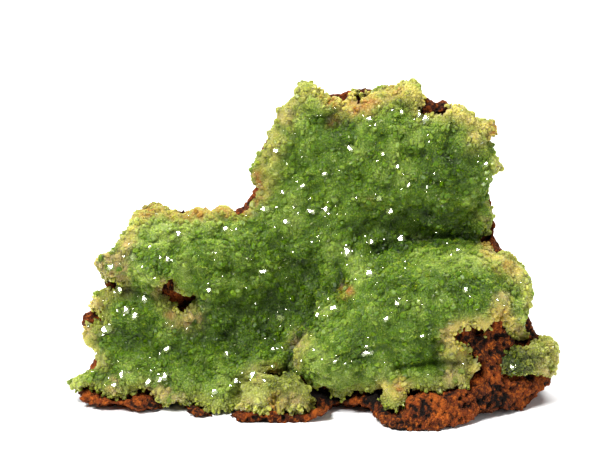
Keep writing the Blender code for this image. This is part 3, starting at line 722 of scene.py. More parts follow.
# The sill of rock that the tuft sits on. The crust isn't broken there.
SILL = Break((
    (-14.0, 0.0), (-2.0, 0.0), (-0.2, 1.6), (1.6, 2.6), (3.4, 3.6), (2.6, 4.4), (-0.5, 3.6), (-4.0, 3.0),
    (-8.0, 4.2), (-11.0, 3.0), (-14.0, 3.2)), sink=0.0, depth=6.0, retreat=0.0, face_depth=5.2)

# The outlines that part the main crust's crystals into three pieces.
LOBE = (
    (-3.4, 8.0), (-4.0, 12.0), (0.4, 16.0), (0.6, 22.0), (3.0, 28.0), (8.0, 31.0), (14.0, 32.4),
    (22.0, 33.8), (31.0, 34.0), (46.0, 34.6), (46.0, 0.0), (-3.4, 0.0),
)
BLOCK = (
    (-10.5, 39.0), (3.0, 28.0), (8.0, 31.0), (14.0, 32.4), (22.0, 33.8), (46.0, 34.0), (46.0, 70.0),
    (-14.0, 70.0),
)

# The marks on the crust and on the rock: each row gives a width in millimetres, a strength, and the
# u and v of each place along the stroke.

# Where the broken edge of the crust is golden.
GOLD = marks(
    (2.2, 0.6, -9.4, 43.5, -8.6, 48.5, -6.8, 54.6, -5.4, 57.4, -2.2, 61.8, 0.4, 62.0),
    (2.0, 0.85, 5.4, 61.2, 7.0, 58.8, 12.0, 60.6, 17.4, 62.4, 20.0, 60.0, 26.4, 58.2, 32.2, 54.8),
    (2.2, 0.9, 29.9, 53.6), (1.2, 0.7, 33.6, 49.0, 34.2, 46.4),
    (1.4, 0.75, -34.6, 34.0, -32.6, 38.6, -29.3, 40.2, -22.6, 39.4, -16.8, 40.4, -12.0, 40.6),
    (1.4, 0.8, -42.2, 16.6, -40.8, 13.5, -39.2, 11.9), (1.3, 0.9, -40.6, 22.8, -38.6, 23.8),
    (1.8, 0.9, 31.9, 32.4, 35.0, 31.0, 37.4, 28.4), (1.3, 0.5, 38.8, 27.0, 39.6, 22.0),
    (1.3, 1.0, 24.6, 13.8, 24.4, 16.8, 26.0, 18.6, 29.2, 19.4, 31.6, 19.2, 33.4, 21.6, 34.3, 23.4, 35.4,
     20.6, 37.4, 17.8, 38.2, 15.6),
    (1.2, 0.9, 25.4, 13.4, 28.0, 12.6, 29.6, 10.8), (1.2, 1.0, 12.4, 8.2, 14.3, 6.5, 15.8, 8.4),
    (1.3, 0.7, -1.8, 16.4, -3.2, 14.6, -3.2, 12.2), (1.6, 0.8, 43.9, 15.0, 45.0, 13.0),
)
# Where rust stains the crust.
RUST = marks(
    (0.8, 0.7, 2.0, 60.6, 3.8, 59.2), (0.9, 0.8, -10.2, 46.6, -9.6, 44.4),
    (1.3, 0.9, -31.2, 39.6, -29.0, 40.6), (1.2, 0.65, -26.0, 39.4, -18.0, 39.8, -13.0, 40.2),
    (1.3, 0.8, 7.5, 58.8, 10.5, 59.8), (1.2, 0.7, 14.8, 62.2), (1.3, 0.9, 33.2, 55.0),
    (1.1, 0.7, 31.9, 33.2), (1.8, 0.5, 35.0, 30.0), (1.2, 0.6, 33.9, 21.2), (1.1, 0.6, 27.0, 14.6),
    (1.2, 0.8, 15.8, 7.6), (0.9, 0.9, 5.2, 25.0, 6.2, 25.6), (1.4, 0.3, 3.6, 56.8), (1.3, 0.7, -27.0, 25.6),
    (1.1, 0.6, -26.2, 21.0), (1.2, 0.4, -23.2, 19.6), (0.9, 0.7, -10.2, 41.6), (1.2, 0.9, -7.3, 5.4),
    (1.0, 0.5, -7.4, 11.0), (0.9, 0.5, -41.4, 18.0), (1.0, 0.25, 10.0, 41.8),
)
# Where it is the beige of thin crust over rock.
CREAM = marks(
    (2.4, 0.9, -38.8, 30.8, -36.2, 29.4), (1.2, 0.7, -34.8, 32.2, -34.0, 34.0),
    (1.2, 0.6, -40.4, 22.8, -41.6, 22.0), (1.0, 0.7, -41.8, 17.6), (1.3, 0.8, -28.2, 25.2, -26.2, 25.6),
    (1.9, 0.8, -22.2, 20.4), (1.5, 0.4, -25.6, 19.6), (1.2, 0.9, -36.8, 8.0),
    (1.4, 0.6, -29.8, 7.0, -25.4, 5.6), (1.5, 0.4, -11.0, 10.0), (2.0, 0.6, -4.0, 5.2),
    (2.0, 0.7, 25.4, 9.4), (1.0, 0.6, -3.2, 15.8), (1.0, 0.4, 33.6, 24.2), (1.1, 0.6, 37.8, 17.6),
    (1.0, 0.6, 24.0, 17.0), (1.4, 0.5, -12.4, 4.4), (1.0, 0.5, -6.2, 57.6), (1.2, 0.5, 31.4, 39.0),
    (2.0, 0.5, 42.6, 10.4), (1.0, 0.6, 33.2, 24.0, 34.6, 24.6), (0.9, 0.6, 23.6, 17.8, 25.4, 19.4),
)
# Where its crystals are milky.
PALE = marks(
    (3.2, 0.5, -32.0, 35.6, -25.0, 36.0, -17.0, 37.6), (2.2, 0.7, -30.0, 28.0), (3.2, 0.4, -24.0, 29.6),
    (3.0, 0.3, 1.0, 43.0), (3.0, 0.35, 14.9, 47.9), (2.6, 0.4, 16.4, 53.0), (2.0, 0.3, 8.6, 51.6),
    (3.2, 0.4, 29.4, 40.0), (2.2, 0.6, 34.0, 48.0), (3.2, 0.35, -4.0, 41.0),
    (2.8, 0.5, 19.0, 31.2, 31.0, 30.8), (2.8, 0.45, 8.5, 29.0), (2.4, 0.5, 1.6, 22.6),
    (2.6, 0.7, 0.8, 13.5), (2.0, 0.5, 2.0, 8.8, 12.0, 10.5), (2.0, 0.9, 37.6, 27.0, 39.4, 21.0),
    (1.8, 0.45, -34.0, 9.5, -27.0, 8.6, -15.0, 8.0), (2.2, 0.9, -43.5, 8.2), (2.6, 0.3, 6.0, 19.0),
    (1.8, 0.3, 24.0, 24.0), (1.4, 0.5, 13.0, 11.0, 22.0, 9.6), (1.0, 0.6, 28.6, 19.9, 31.6, 20.4),
    (2.2, 0.7, -10.0, 5.8), (1.6, 0.4, -5.6, 12.4), (2.0, 0.5, 1.8, 58.8, -0.6, 61.0),
)
# Where they are darker green, and no edge is golden: painted shade in crevices, hollows and creases and
# under overhangs, over the crystals' own deeper green.
DEEP_SHADE = marks(
    (4.2, 0.6, -16.0, 19.0, -9.0, 18.0, -5.0, 21.0, -2.5, 26.0), (4.0, 0.3, -22.0, 13.0),
    (3.4, 0.4, -33.0, 17.5), (1.8, 0.6, -33.4, 26.0),
    (1.7, 1.0, 12.0, 33.0, 18.6, 34.6, 24.6, 35.2, 30.4, 34.8),
    (2.8, 0.5, 14.0, 37.8, 22.0, 38.8, 27.0, 37.8), (3.0, 0.5, 25.0, 49.5), (3.0, 0.35, 22.0, 44.5),
    (2.6, 0.5, 4.0, 53.8), (1.5, 1.1, 2.6, 56.8, 5.0, 56.2), (3.0, 0.4, -3.0, 32.0),
    (1.1, 0.7, 4.2, 30.0, 5.4, 26.4, 0.0, 24.0, -0.8, 19.0), (3.6, 0.4, 20.0, 13.0),
    (1.2, 0.7, 16.0, 11.6, 24.0, 12.4, 28.0, 12.4), (3.2, 1.5, 35.8, 13.2, 37.2, 11.4),
    (2.0, 0.4, 8.0, 36.4), (1.1, 1.2, -4.7, 10.4, -4.4, 12.4, -4.1, 14.2, -2.7, 16.6, -1.3, 18.8),
    (2.4, 0.3, 30.6, 25.0), (1.6, 0.4, -12.4, 33.0),
)
# Where the crust is dented, by how many millimetres.
DENTS = marks(
    (1.0, 1.9, 11.6, 32.6, 18.6, 34.3, 24.6, 34.8, 29.6, 34.2),
    (0.9, 1.4, 4.2, 30.2, 5.6, 26.2, 0.4, 24.6, -0.6, 19.2, -2.6, 16.6), (0.9, 1.2, 5.9, 25.7),
    (2.0, 1.3, 3.4, 56.0), (0.9, 2.6, -4.6, 10.4, -4.3, 12.4, -4.0, 14.2, -2.6, 16.4, -1.2, 18.4),
    (0.9, 1.3, 15.6, 11.4, 24.0, 12.0, 28.6, 12.8), (1.1, 1.2, -7.4, 5.4),
    (1.2, 1.2, -33.6, 25.4, -30.2, 25.6), (1.7, 1.8, 36.0, 14.0, 36.4, 10.6), (1.2, 0.8, 38.4, 15.4),
    (0.8, 0.8, -6.9, 8.8), (0.6, 1.4, -22.9, 23.2, -21.4, 22.6), (0.7, 1.2, -29.4, 24.0, -28.6, 23.4),
    (1.0, 0.8, -14.0, 5.0, -13.8, 9.0), (1.4, 1.0, 7.6, 62.0),
)
# Where the rock is painted darker, towards its pore colour: painted shade under the lobe's arch and in low
# places on the rock's front.
ROCK_SHADE = marks(
    (1.4, 0.6, -0.6, 6.6, 1.2, 6.2, 3.4, 6.2, 6.0, 6.8), (1.0, 0.2, 30.4, 16.4),
    (1.4, 0.7, 10.8, 5.8, 12.8, 6.2, 13.4, 4.6), (1.6, 0.2, 16.0, 2.6, 20.0, 3.6),
    (1.2, 0.25, 31.0, 5.4, 34.0, 5.0),
)
# Where the crust is raised, by how many millimetres.
HUMPS = marks(
    (1.9, 1.5, -6.2, 12.4), (2.4, 0.9, -0.8, 60.4), (1.9, 1.1, 29.9, 53.9), (1.8, 0.9, -30.2, 27.6),
    (2.0, 0.6, -37.6, 30.2), (2.4, 0.8, 16.8, 61.4), (1.4, 0.7, -31.0, 39.4),
    (1.6, 0.7, 14.0, 36.6, 24.0, 37.2), (1.6, 0.6, 26.0, 10.2),
)


@dataclass
class LimoniteMatrix:
    """The rusty rock: even facets over the CAD solid, roughened into grains and pores."""

    node: str = "limonite_matrix"
    spacing: float = 0.45
    rounds: int = 3
    blunt: float = 0.45
    clod_mm: float = 4.2
    chip_mm: float = 2.2
    crumb_mm: float = 1.2
    pore_mm: float = 1.1
    grit_mm: float = 0.8
    deepest_mm: float = 4.0
    finish: LimoniteFinish = LimoniteFinish()
    skin: Skin | None = None

    def bed(self) -> Skin:
        """Makes the rock's smooth skin, up to the crust's face where the crust is broken.

        Returns:
            The skin, which stays with this rock for the crusts to rest on.
        """
        face = read_skin(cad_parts["adamite_crust"]).tree()
        shape = read_skin(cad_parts[self.node])
        for gap in (*BREAKS, SILL):
            if gap.sink is not None:
                shape = shape.joined(gap.plug(face))
        skin = resurface(shape, self.spacing, self.rounds).largest()
        even = skin.spread(skin.points, 12)
        spiky = np.linalg.norm(skin.points - even, axis=1) > self.blunt
        skin.points[spiky] = even[spiky]
        self.skin = skin
        return self.skin

    def build(self) -> bpy.types.Object:
        """Makes the rock's piece.

        Returns:
            The piece, dressed and riding on its body.
        """
        bed = self.bed()
        crumbs = domes(bed.points, self.crumb_mm)
        clods = domes(bed.points, self.clod_mm)
        chips = rough(bed.points, self.chip_mm)
        grit = rough(bed.points, self.grit_mm)
        pores = np.clip(rough(bed.points, self.pore_mm) - 0.25, 0.0, 0.25) * 2.8
        relief = 0.55 * (crumbs - 0.6) + 0.45 * (clods - 0.6) + 0.3 * chips + 0.4 * grit - pores
        outward = bed.normals()
        thickness = self.thickness(bed, outward)
        relief = np.clip(relief, -0.25 * thickness, 0.35 * thickness)
        rock = Skin(bed.points + outward * relief[:, None], bed.faces)
        # Painted shade: the rock's relief value is lowered where the marks lie, so the finish turns it
        # towards the pore colour.
        shade = strongest(ROCK_SHADE, SIGHT.project(rock.points))
        rock.values["relief"] = np.clip(0.5 + 0.7 * (relief - 0.45 * (clods - 0.6)) - shade, 0.0, 1.0)
        piece = rock.make("limonite_matrix_rock", smooth=True)
        piece.data.materials.append(self.finish.material())
        return settle(piece, self.node)

    def thickness(self, bed: Skin, outward: np.ndarray) -> np.ndarray:
        """Gives how thick the rock is under each corner of its skin.

        Args:
            bed: The rock's skin.
            outward: The outward direction at each corner.

        Returns:
            The thickness, up to the deepest that is looked for.
        """
        tree = bed.tree()
        found = [tree.ray_cast(Vector(place) - 0.1 * Vector(way), -Vector(way), self.deepest_mm)[3]
                 for place, way in zip(bed.points, outward)]
        return np.array([self.deepest_mm if gap is None else gap for gap in found])


def settle(piece: bpy.types.Object, node: str) -> bpy.types.Object:
    """Puts a piece in a CAD node's place, on its body.

    Args:
        piece: The finished piece.
        node: The CAD node that it stands for.

    Returns:
        The same piece.
    """
    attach(piece, ROOT)
    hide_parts(node)
    return piece


class Habit(Enum):
    """How thickly a crust's crystals stand, as their spacing in millimetres.

    Real ones go on down to half of that, which is too fine to show, so none is drawn finer than this.
    """

    SUGAR = 0.52
    PATCH = 0.46


@dataclass(frozen=True)
class Wedges:
    """Six-sided crystals that end in a wedge: two roof faces that meet in a ridge.

    All sizes are shares: of a crystal's height, or of its length and width for ridge and waist.
    """

    CORNERS = 14  # of one crystal

    shoulder: float = 0.45
    ridge: float = 0.45
    waist: float = 0.6
    rooted: float = 0.6

    def grow(self, seats: np.ndarray, axis: np.ndarray, along: np.ndarray, sizes: np.ndarray) -> Skin:
        """Makes one closed crystal on each seat.

        Args:
            seats: Where the crystals stand.
            axis: The way that each points.
            along: The way that its ridge runs, square to its axis.
            sizes: Its length along the ridge, its width, and its height above the seat.

        Returns:
            All the crystals' faces.
        """
        across = np.cross(axis, along)
        length, width, height = (sizes[:, k, None] for k in range(3))
        ring = ((1.0, 0.0), (self.waist, 1.0), (-self.waist, 1.0),
                (-1.0, 0.0), (-self.waist, -1.0), (self.waist, -1.0))
        sides = [seats + along * length * a / 2 + across * width * b / 2 for a, b in ring]
        rows = [side - axis * self.rooted * height for side in sides]
        rows += [side + axis * (self.shoulder if b else 0.7 * self.shoulder) * height
                 for side, (_, b) in zip(sides, ring)]
        rows += [seats + along * length * sign * self.ridge / 2 + axis * height for sign in (1.0, -1.0)]
        points = np.stack(rows, axis=1).reshape(-1, 3)
        pattern = [(k, (k + 1) % 6, 6 + (k + 1) % 6) for k in range(6)]
        pattern += [(k, 6 + (k + 1) % 6, 6 + k) for k in range(6)]
        pattern += [(7, 8, 13), (7, 13, 12), (10, 11, 12), (10, 12, 13), (6, 7, 12), (11, 6, 12)]
        pattern += [(8, 9, 13), (9, 10, 13), (0, 5, 4), (0, 4, 3), (0, 3, 2), (0, 2, 1)]
        starts = np.arange(len(seats))[:, None, None] * self.CORNERS
        return Skin(points, (np.array(pattern)[None] + starts).reshape(-1, 3))

    def facing(self, outward: np.ndarray, bright: np.ndarray,
               sizes: np.ndarray) -> tuple[np.ndarray, np.ndarray]:
        """Turns crystals so that one roof face of each looks a given way.

        Args:
            outward: The way that the crust faces under each crystal.
            bright: The way that its roof face should look.
            sizes: Its length, width and height.

        Returns:
            The crystals' axes and the ways that their ridges run.
        """
        pitch = np.arctan((1.0 - self.shoulder) * sizes[:, 2] / (sizes[:, 1] / 2))[:, None]
        hinge = unit(np.cross(bright, outward) + 1e-6)
        axis = bright * np.cos(pitch) + np.cross(hinge, bright) * np.sin(pitch)
        across = (bright - axis * np.cos(pitch)) / np.sin(pitch)
        return axis, unit(np.cross(across, axis))


@dataclass
class Druse:
    """A crust of small crystals over a CAD solid."""

    node: str
    slot: str
    finish: AdamiteFinish
    rock: LimoniteMatrix
    habit: Habit = Habit.SUGAR
    rounds: int = 9
    regrowth: float = 0.25
    lumps: tuple = ((4.2, 1.25), (2.0, 0.55))
    bevel: float = 1.8
    drop: float = 1.5
    tuck: float = 0.7
    undercut: float = 1.0
    rim_width: float = 2.2
    ragged: float = 0.9
    jitter: float = 0.3
    height_range: tuple = (0.22, 0.75)
    ridge_range: tuple = (0.15, 0.6)
    lean: float = 0.35
    dull_rim: float = 0.3
    larger: int = 2600
    larger_size: tuple = (1.1, 0.65, 0.5)
    prisms: int = 1100
    prism_height: tuple = (0.35, 0.85)
    seed: int = 1

    def bed(self) -> Skin:
        """Makes the lumpy surface that the crystals stand on.

        Returns:
            The open skin, its edges run down to the rock, with the colours' values at its corners.
        """
        skin = self.bared()
        rim = open_corners(skin)
        reach = distances(skin.points, skin.points[rim])
        skin.values["inland"] = np.clip(reach / self.rim_width, 0.0, 1.0)
        self.heap_up(skin)
        skin.points = eased(skin.points)
        self.run_down(skin, rim, reach)
        self.paint(skin, reach)
        return skin

    def bared(self) -> Skin:
        """Takes the CAD crust's outer surface.

        Returns:
            The surface, without what lies against the rock and what is broken away.
        """
        skin = resurface(read_skin(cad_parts[self.node]), self.habit.value, self.rounds)
        solid = read_skin(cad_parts[self.rock.node]).tree()
        seen = self.warped(skin.centres())
        kept = np.array([solid.ray_cast(Vector(start) - 0.4 * Vector(way), Vector(way), 2.0)[0] is None
                         for start, way in zip(skin.centres(), skin.face_normals())])
        for gap in BREAKS:
            kept &= ~within(gap.outline, seen, gap.retreat)
        return skin.only(kept).largest()

    def heap_up(self, skin: Skin) -> None:
        """Heaps the crust up into lumps, less so at its edge and below, and dents it where the marks say.

        Args:
            skin: The crust's surface, which is moved and takes the lumps' heights as a value.
        """
        crowns = [domes(skin.points, size) for size, _ in self.lumps]
        growth = self.regrowth + sum(
            height * (crown - 0.6) for crown, (_, height) in zip(crowns, self.lumps))
        outward = skin.normals()
        growth = growth * (0.35 + 0.65 * skin.values["inland"]) + 0.3 * rough(skin.points, 1.4)
        growth -= self.undercut * np.clip(-1.5 * outward[:, 2], 0.0, 1.0)
        front = np.clip(-(outward @ np.array(SIGHT_LINE)), 0.0, 1.0) ** 0.5
        places = SIGHT.project(skin.points)
        push = strongest(DENTS, places) - strongest(HUMPS, places)
        skin.points = skin.points + outward * growth[:, None]
        skin.points = skin.points + np.array(SIGHT_LINE) * (push * front)[:, None]
        skin.values["lump"] = 0.7 * crowns[0] + 0.3 * crowns[-1]

    def run_down(self, skin: Skin, rim: np.ndarray, reach: np.ndarray) -> None:
        """Runs the crust's edge down to the rock, and tucks it in there.

        Args:
            skin: The crust's surface, which is moved.
            rim: Whether each of its corners lies at its open edge.
            reach: How far each is from there.
        """
        ground = self.rock.skin.tree()
        shift = np.zeros_like(skin.points)
        for index in np.flatnonzero(reach < self.bevel):
            place = Vector(skin.points[index])
            nearest, _, _, gap = ground.find_nearest(place)
            pull = (1.0 - reach[index] / self.bevel) ** 1.5
            under = self.tuck if rim[index] and gap < 2.0 * self.drop else 0.0
            way = (nearest - place) / max(gap, 1e-6)
            shift[index] = way * (min(gap, self.drop) * pull + under)
        skin.points = skin.points + skin.spread(shift, 3)

    def warped(self, points: np.ndarray) -> np.ndarray:
        """Gives where places are seen, shifted unevenly so that outlines come out ragged."""
        shift = np.stack((rough(points, 1.3), rough(points + 50.0, 1.3)), axis=1)
        return SIGHT.project(points) + self.ragged * shift

    def paint(self, skin: Skin, reach: np.ndarray) -> None:
        """Works out the values that the finish reads.

        Args:
            skin: The bed, which takes the values.
            reach: How far each of its corners is from its open edge.
        """
        wander = rough(skin.points, 3.0)
        clouds = rough(skin.points, 2.2) + 0.7 * rough(skin.points, 6.0)
        seen = self.warped(skin.points)
        mottle = np.clip(0.85 + 1.0 * rough(skin.points, 1.9), 0.3, 1.0)
        gold = strongest(GOLD, seen) * mottle
        # Painted shade: darker green in the crevices, hollows and creases, and under the overhangs.
        deep_shade = strongest(DEEP_SHADE, seen)
        broken = np.clip(1.25 - (reach + 0.9 * wander) / 1.9, 0.0, 1.0)
        edge = np.maximum(gold, broken * (self.dull_rim + gold)) * (1.0 - 0.8 * deep_shade)
        # Painted light and shade: lighter on the lumps' crowns and darker in the grooves between them, over
        # random clouds and milky patches.
        tone_and_shade = 0.42 + 0.17 * clouds + 0.34 * (skin.values.pop("lump") - 0.6)
        tone_and_shade += 0.5 * (strongest(PALE, seen) - deep_shade)
        fleck = np.clip(0.85 + 1.8 * rough(skin.points, 1.2), 0.0, 1.2)
        for label, value in (("edge", edge), ("tone_and_shade", tone_and_shade), ("rust", strongest(RUST, seen) * fleck),
                             ("cream", strongest(CREAM, seen) * fleck)):
            skin.values[label] = np.clip(value, 0.0, 1.0)

    def crystals(self, bed: Skin) -> Skin:
        """Grows the crust's crystals.

        Args:
            bed: The skin to grow on.

        Returns:
            One sheet of small crystals, larger ones strewn over it, and a fringe.
        """
        draw = np.random.default_rng(self.seed)
        return self.roofs(bed, draw).joined(self.strewn(bed, draw)).joined(self.fringe(bed))

    def roofs(self, bed: Skin, draw: np.random.Generator) -> Skin:
        """Raises a low roof-shaped crystal on every inner corner of the bed.

        Each fills the cell round its corner, out to the middles of the bed's faces, and flat faces lead
        up from there to a short ridge.

        Args:
            bed: The skin to grow on.
            draw: The source of random numbers.

        Returns:
            One closed sheet of crystals.
        """
        count = len(bed.points)
        rim = open_corners(bed)
        outward = bed.normals()
        slide = draw.uniform(-self.jitter, self.jitter, (count, 3)) * self.habit.value
        slide -= outward * (slide * outward).sum(axis=1, keepdims=True)
        slide[rim] = 0.0
        points = bed.points + slide
        valley = points[bed.faces].mean(axis=1)
        axis = unit(outward + draw.normal(0.0, self.lean, (count, 3)))
        along = square_to(axis, draw)
        radius = 0.6 * self.habit.value
        height = radius * draw.uniform(*self.height_range, count)
        height = np.where(draw.random(count) < 0.06, height * 1.7, height)[:, None]
        ridge = along * (radius * draw.uniform(*self.ridge_range, count))[:, None]
        crest = points + axis * height
        corners = np.concatenate((points, valley, crest - ridge, crest + ridge))
        first_valley = count
        first_end = count + len(valley)

        # Each side of a face of the bed is known by its two corners, and its twin is the same side of the
        # next face. Round each corner, going from twin to twin joins each valley to the next one.
        corner = bed.faces.reshape(-1)
        triangle = np.repeat(np.arange(len(bed.faces)), 3)
        forward = ((valley[triangle] - points[corner]) * along[corner]).sum(axis=1) > 0.0
        following = bed.faces[:, (1, 2, 0)].reshape(-1)
        keys = corner.astype(np.int64) * count + following
        order = np.argsort(keys)
        twins = following.astype(np.int64) * count + corner
        found = np.searchsorted(keys[order], twins).clip(0, len(keys) - 1)
        twin = order[found]
        paired = keys[twin] == twins
        twin_next = (twin // 3) * 3 + (twin % 3 + 1) % 3
        left = np.flatnonzero(~rim[corner] & paired)
        right = twin_next[left]
        valley_left = first_valley + triangle[left]
        valley_right = first_valley + triangle[right]
        end_left = first_end + corner[left] + count * forward[left]
        end_right = first_end + corner[left] + count * forward[right]
        turned = end_left != end_right
        outer = np.flatnonzero(rim[corner] & paired)
        edge = np.flatnonzero(~paired)
        faces = np.concatenate((
            np.stack((valley_right, valley_left, end_left), axis=1),
            np.stack((valley_right, end_left, end_right), axis=1)[turned],
            np.stack((corner[outer], first_valley + triangle[twin_next[outer]],
                      first_valley + triangle[outer]), axis=1),
            np.stack((corner[edge], following[edge], first_valley + triangle[edge]), axis=1)))
        values = {label: np.concatenate((value, value[bed.faces].mean(axis=1), value, value))
                  for label, value in bed.values.items()}
        grain = draw.random(count)
        # Painted shade and light: the valleys between the crystals are darker, with a low grain value and
        # no crest light, and the crests lighter.
        values["grain"] = np.concatenate((grain, np.full(len(valley), 0.2), grain, grain))
        values["tip"] = np.concatenate((np.zeros(count + len(valley)), np.ones(2 * count)))
        return Skin(corners, faces, values).only(np.ones(len(faces), dtype=bool))

    def strewn(self, bed: Skin, draw: np.random.Generator) -> Skin:
        """Grows larger crystals at random, away from the crust's edge.

        Args:
            bed: The skin to grow on.
            draw: The source of random numbers.

        Returns:
            The larger crystals.
        """
        chosen = draw.choice(np.flatnonzero(bed.values["inland"] > 0.5), self.larger, replace=False)
        sizes = draw.uniform(0.65, 1.35, (self.larger, 1)) * np.array(self.larger_size)
        axis = unit(bed.normals()[chosen] + draw.normal(0.0, 0.3, (self.larger, 3)))
        grown = Wedges().grow(bed.points[chosen], axis, square_to(axis, draw), sizes)
        return told(grown, bed, chosen, draw.uniform(0.0, 1.0, self.larger), 0.4)

    def edging(self, bed: Skin) -> np.ndarray:
        """Picks the corners of the bed that the fringe may stand on: those by its broken edge."""
        return np.flatnonzero(bed.values["inland"] < 0.45)

    def fringe(self, bed: Skin) -> Skin:
        """Makes the small prisms that stand out of the crust's edge.

        Args:
            bed: The skin to grow on.

        Returns:
            The prisms.
        """
        draw = np.random.default_rng(self.seed + 10)
        places = self.edging(bed)
        count = min(self.prisms, len(places))
        chosen = draw.choice(places, count, replace=False)
        axis = unit(bed.normals()[chosen] + draw.normal(0.0, 0.3, (count, 3)) + np.array((0.0, 0.0, -0.1)))
        along = square_to(axis, draw)
        sizes = np.stack((draw.uniform(0.45, 1.0, count), draw.uniform(0.35, 0.7, count),
                          draw.uniform(*self.prism_height, count)), axis=1)
        grown = Wedges(shoulder=0.75).grow(bed.points[chosen], axis, along, sizes)
        return told(grown, bed, chosen, draw.uniform(0.4, 1.0, count), 0.9)


def square_to(axis: np.ndarray, draw: np.random.Generator) -> np.ndarray:
    """Gives for each direction another, drawn at random, that is square to it."""
    return unit(np.cross(axis, unit(draw.normal(0.0, 1.0, axis.shape))))


def told(grown: Skin, bed: Skin, chosen: np.ndarray, grain: np.ndarray, tip: float) -> Skin:
    """Gives crystals the values that their finish reads.

    Args:
        grown: The crystals.
        bed: The skin that they stand on.
        chosen: The corner of it that each stands on.
        grain: The value of each crystal's own shade.
        tip: How much lighter they are painted for standing proud: a painted highlight.

    Returns:
        The same crystals.
    """
    grown.values = {label: np.repeat(value[chosen], Wedges.CORNERS) for label, value in bed.values.items()}
    grown.values["grain"] = np.repeat(grain, Wedges.CORNERS)
    grown.values["tip"] = np.full(len(grown.points), tip)
    return grown


def eased(points: np.ndarray, margin: float = 1.2) -> np.ndarray:
    """Gives places with those near the CAD model's box eased in, so that crystals on them fit inside.

    Args:
        points: The places.
        margin: How far inside the box the easing starts, in millimetres.

    Returns:
        The eased places.
    """
    low, high = (np.array(corner) / MM for corner in CAD_BOX)
    over = np.maximum(points - (high - margin), 0.0)
    under = np.maximum(low + margin - points, 0.0)
    points = points - over + 0.6 * margin * np.tanh(over / margin)
    return points + under - 0.6 * margin * np.tanh(under / margin)


def open_corners(skin: Skin) -> np.ndarray:
    """Finds the open edges of a skin.

    Args:
        skin: The skin.

    Returns:
        Whether each corner lies at an open edge.
    """
    starts = skin.faces.reshape(-1).astype(np.int64)
    ends = skin.faces[:, (1, 2, 0)].reshape(-1).astype(np.int64)
    count = len(skin.points)
    open_side = ~np.isin(ends * count + starts, starts * count + ends)
    found = np.zeros(count, dtype=bool)
    found[starts[open_side]] = True
    found[ends[open_side]] = True
    return found


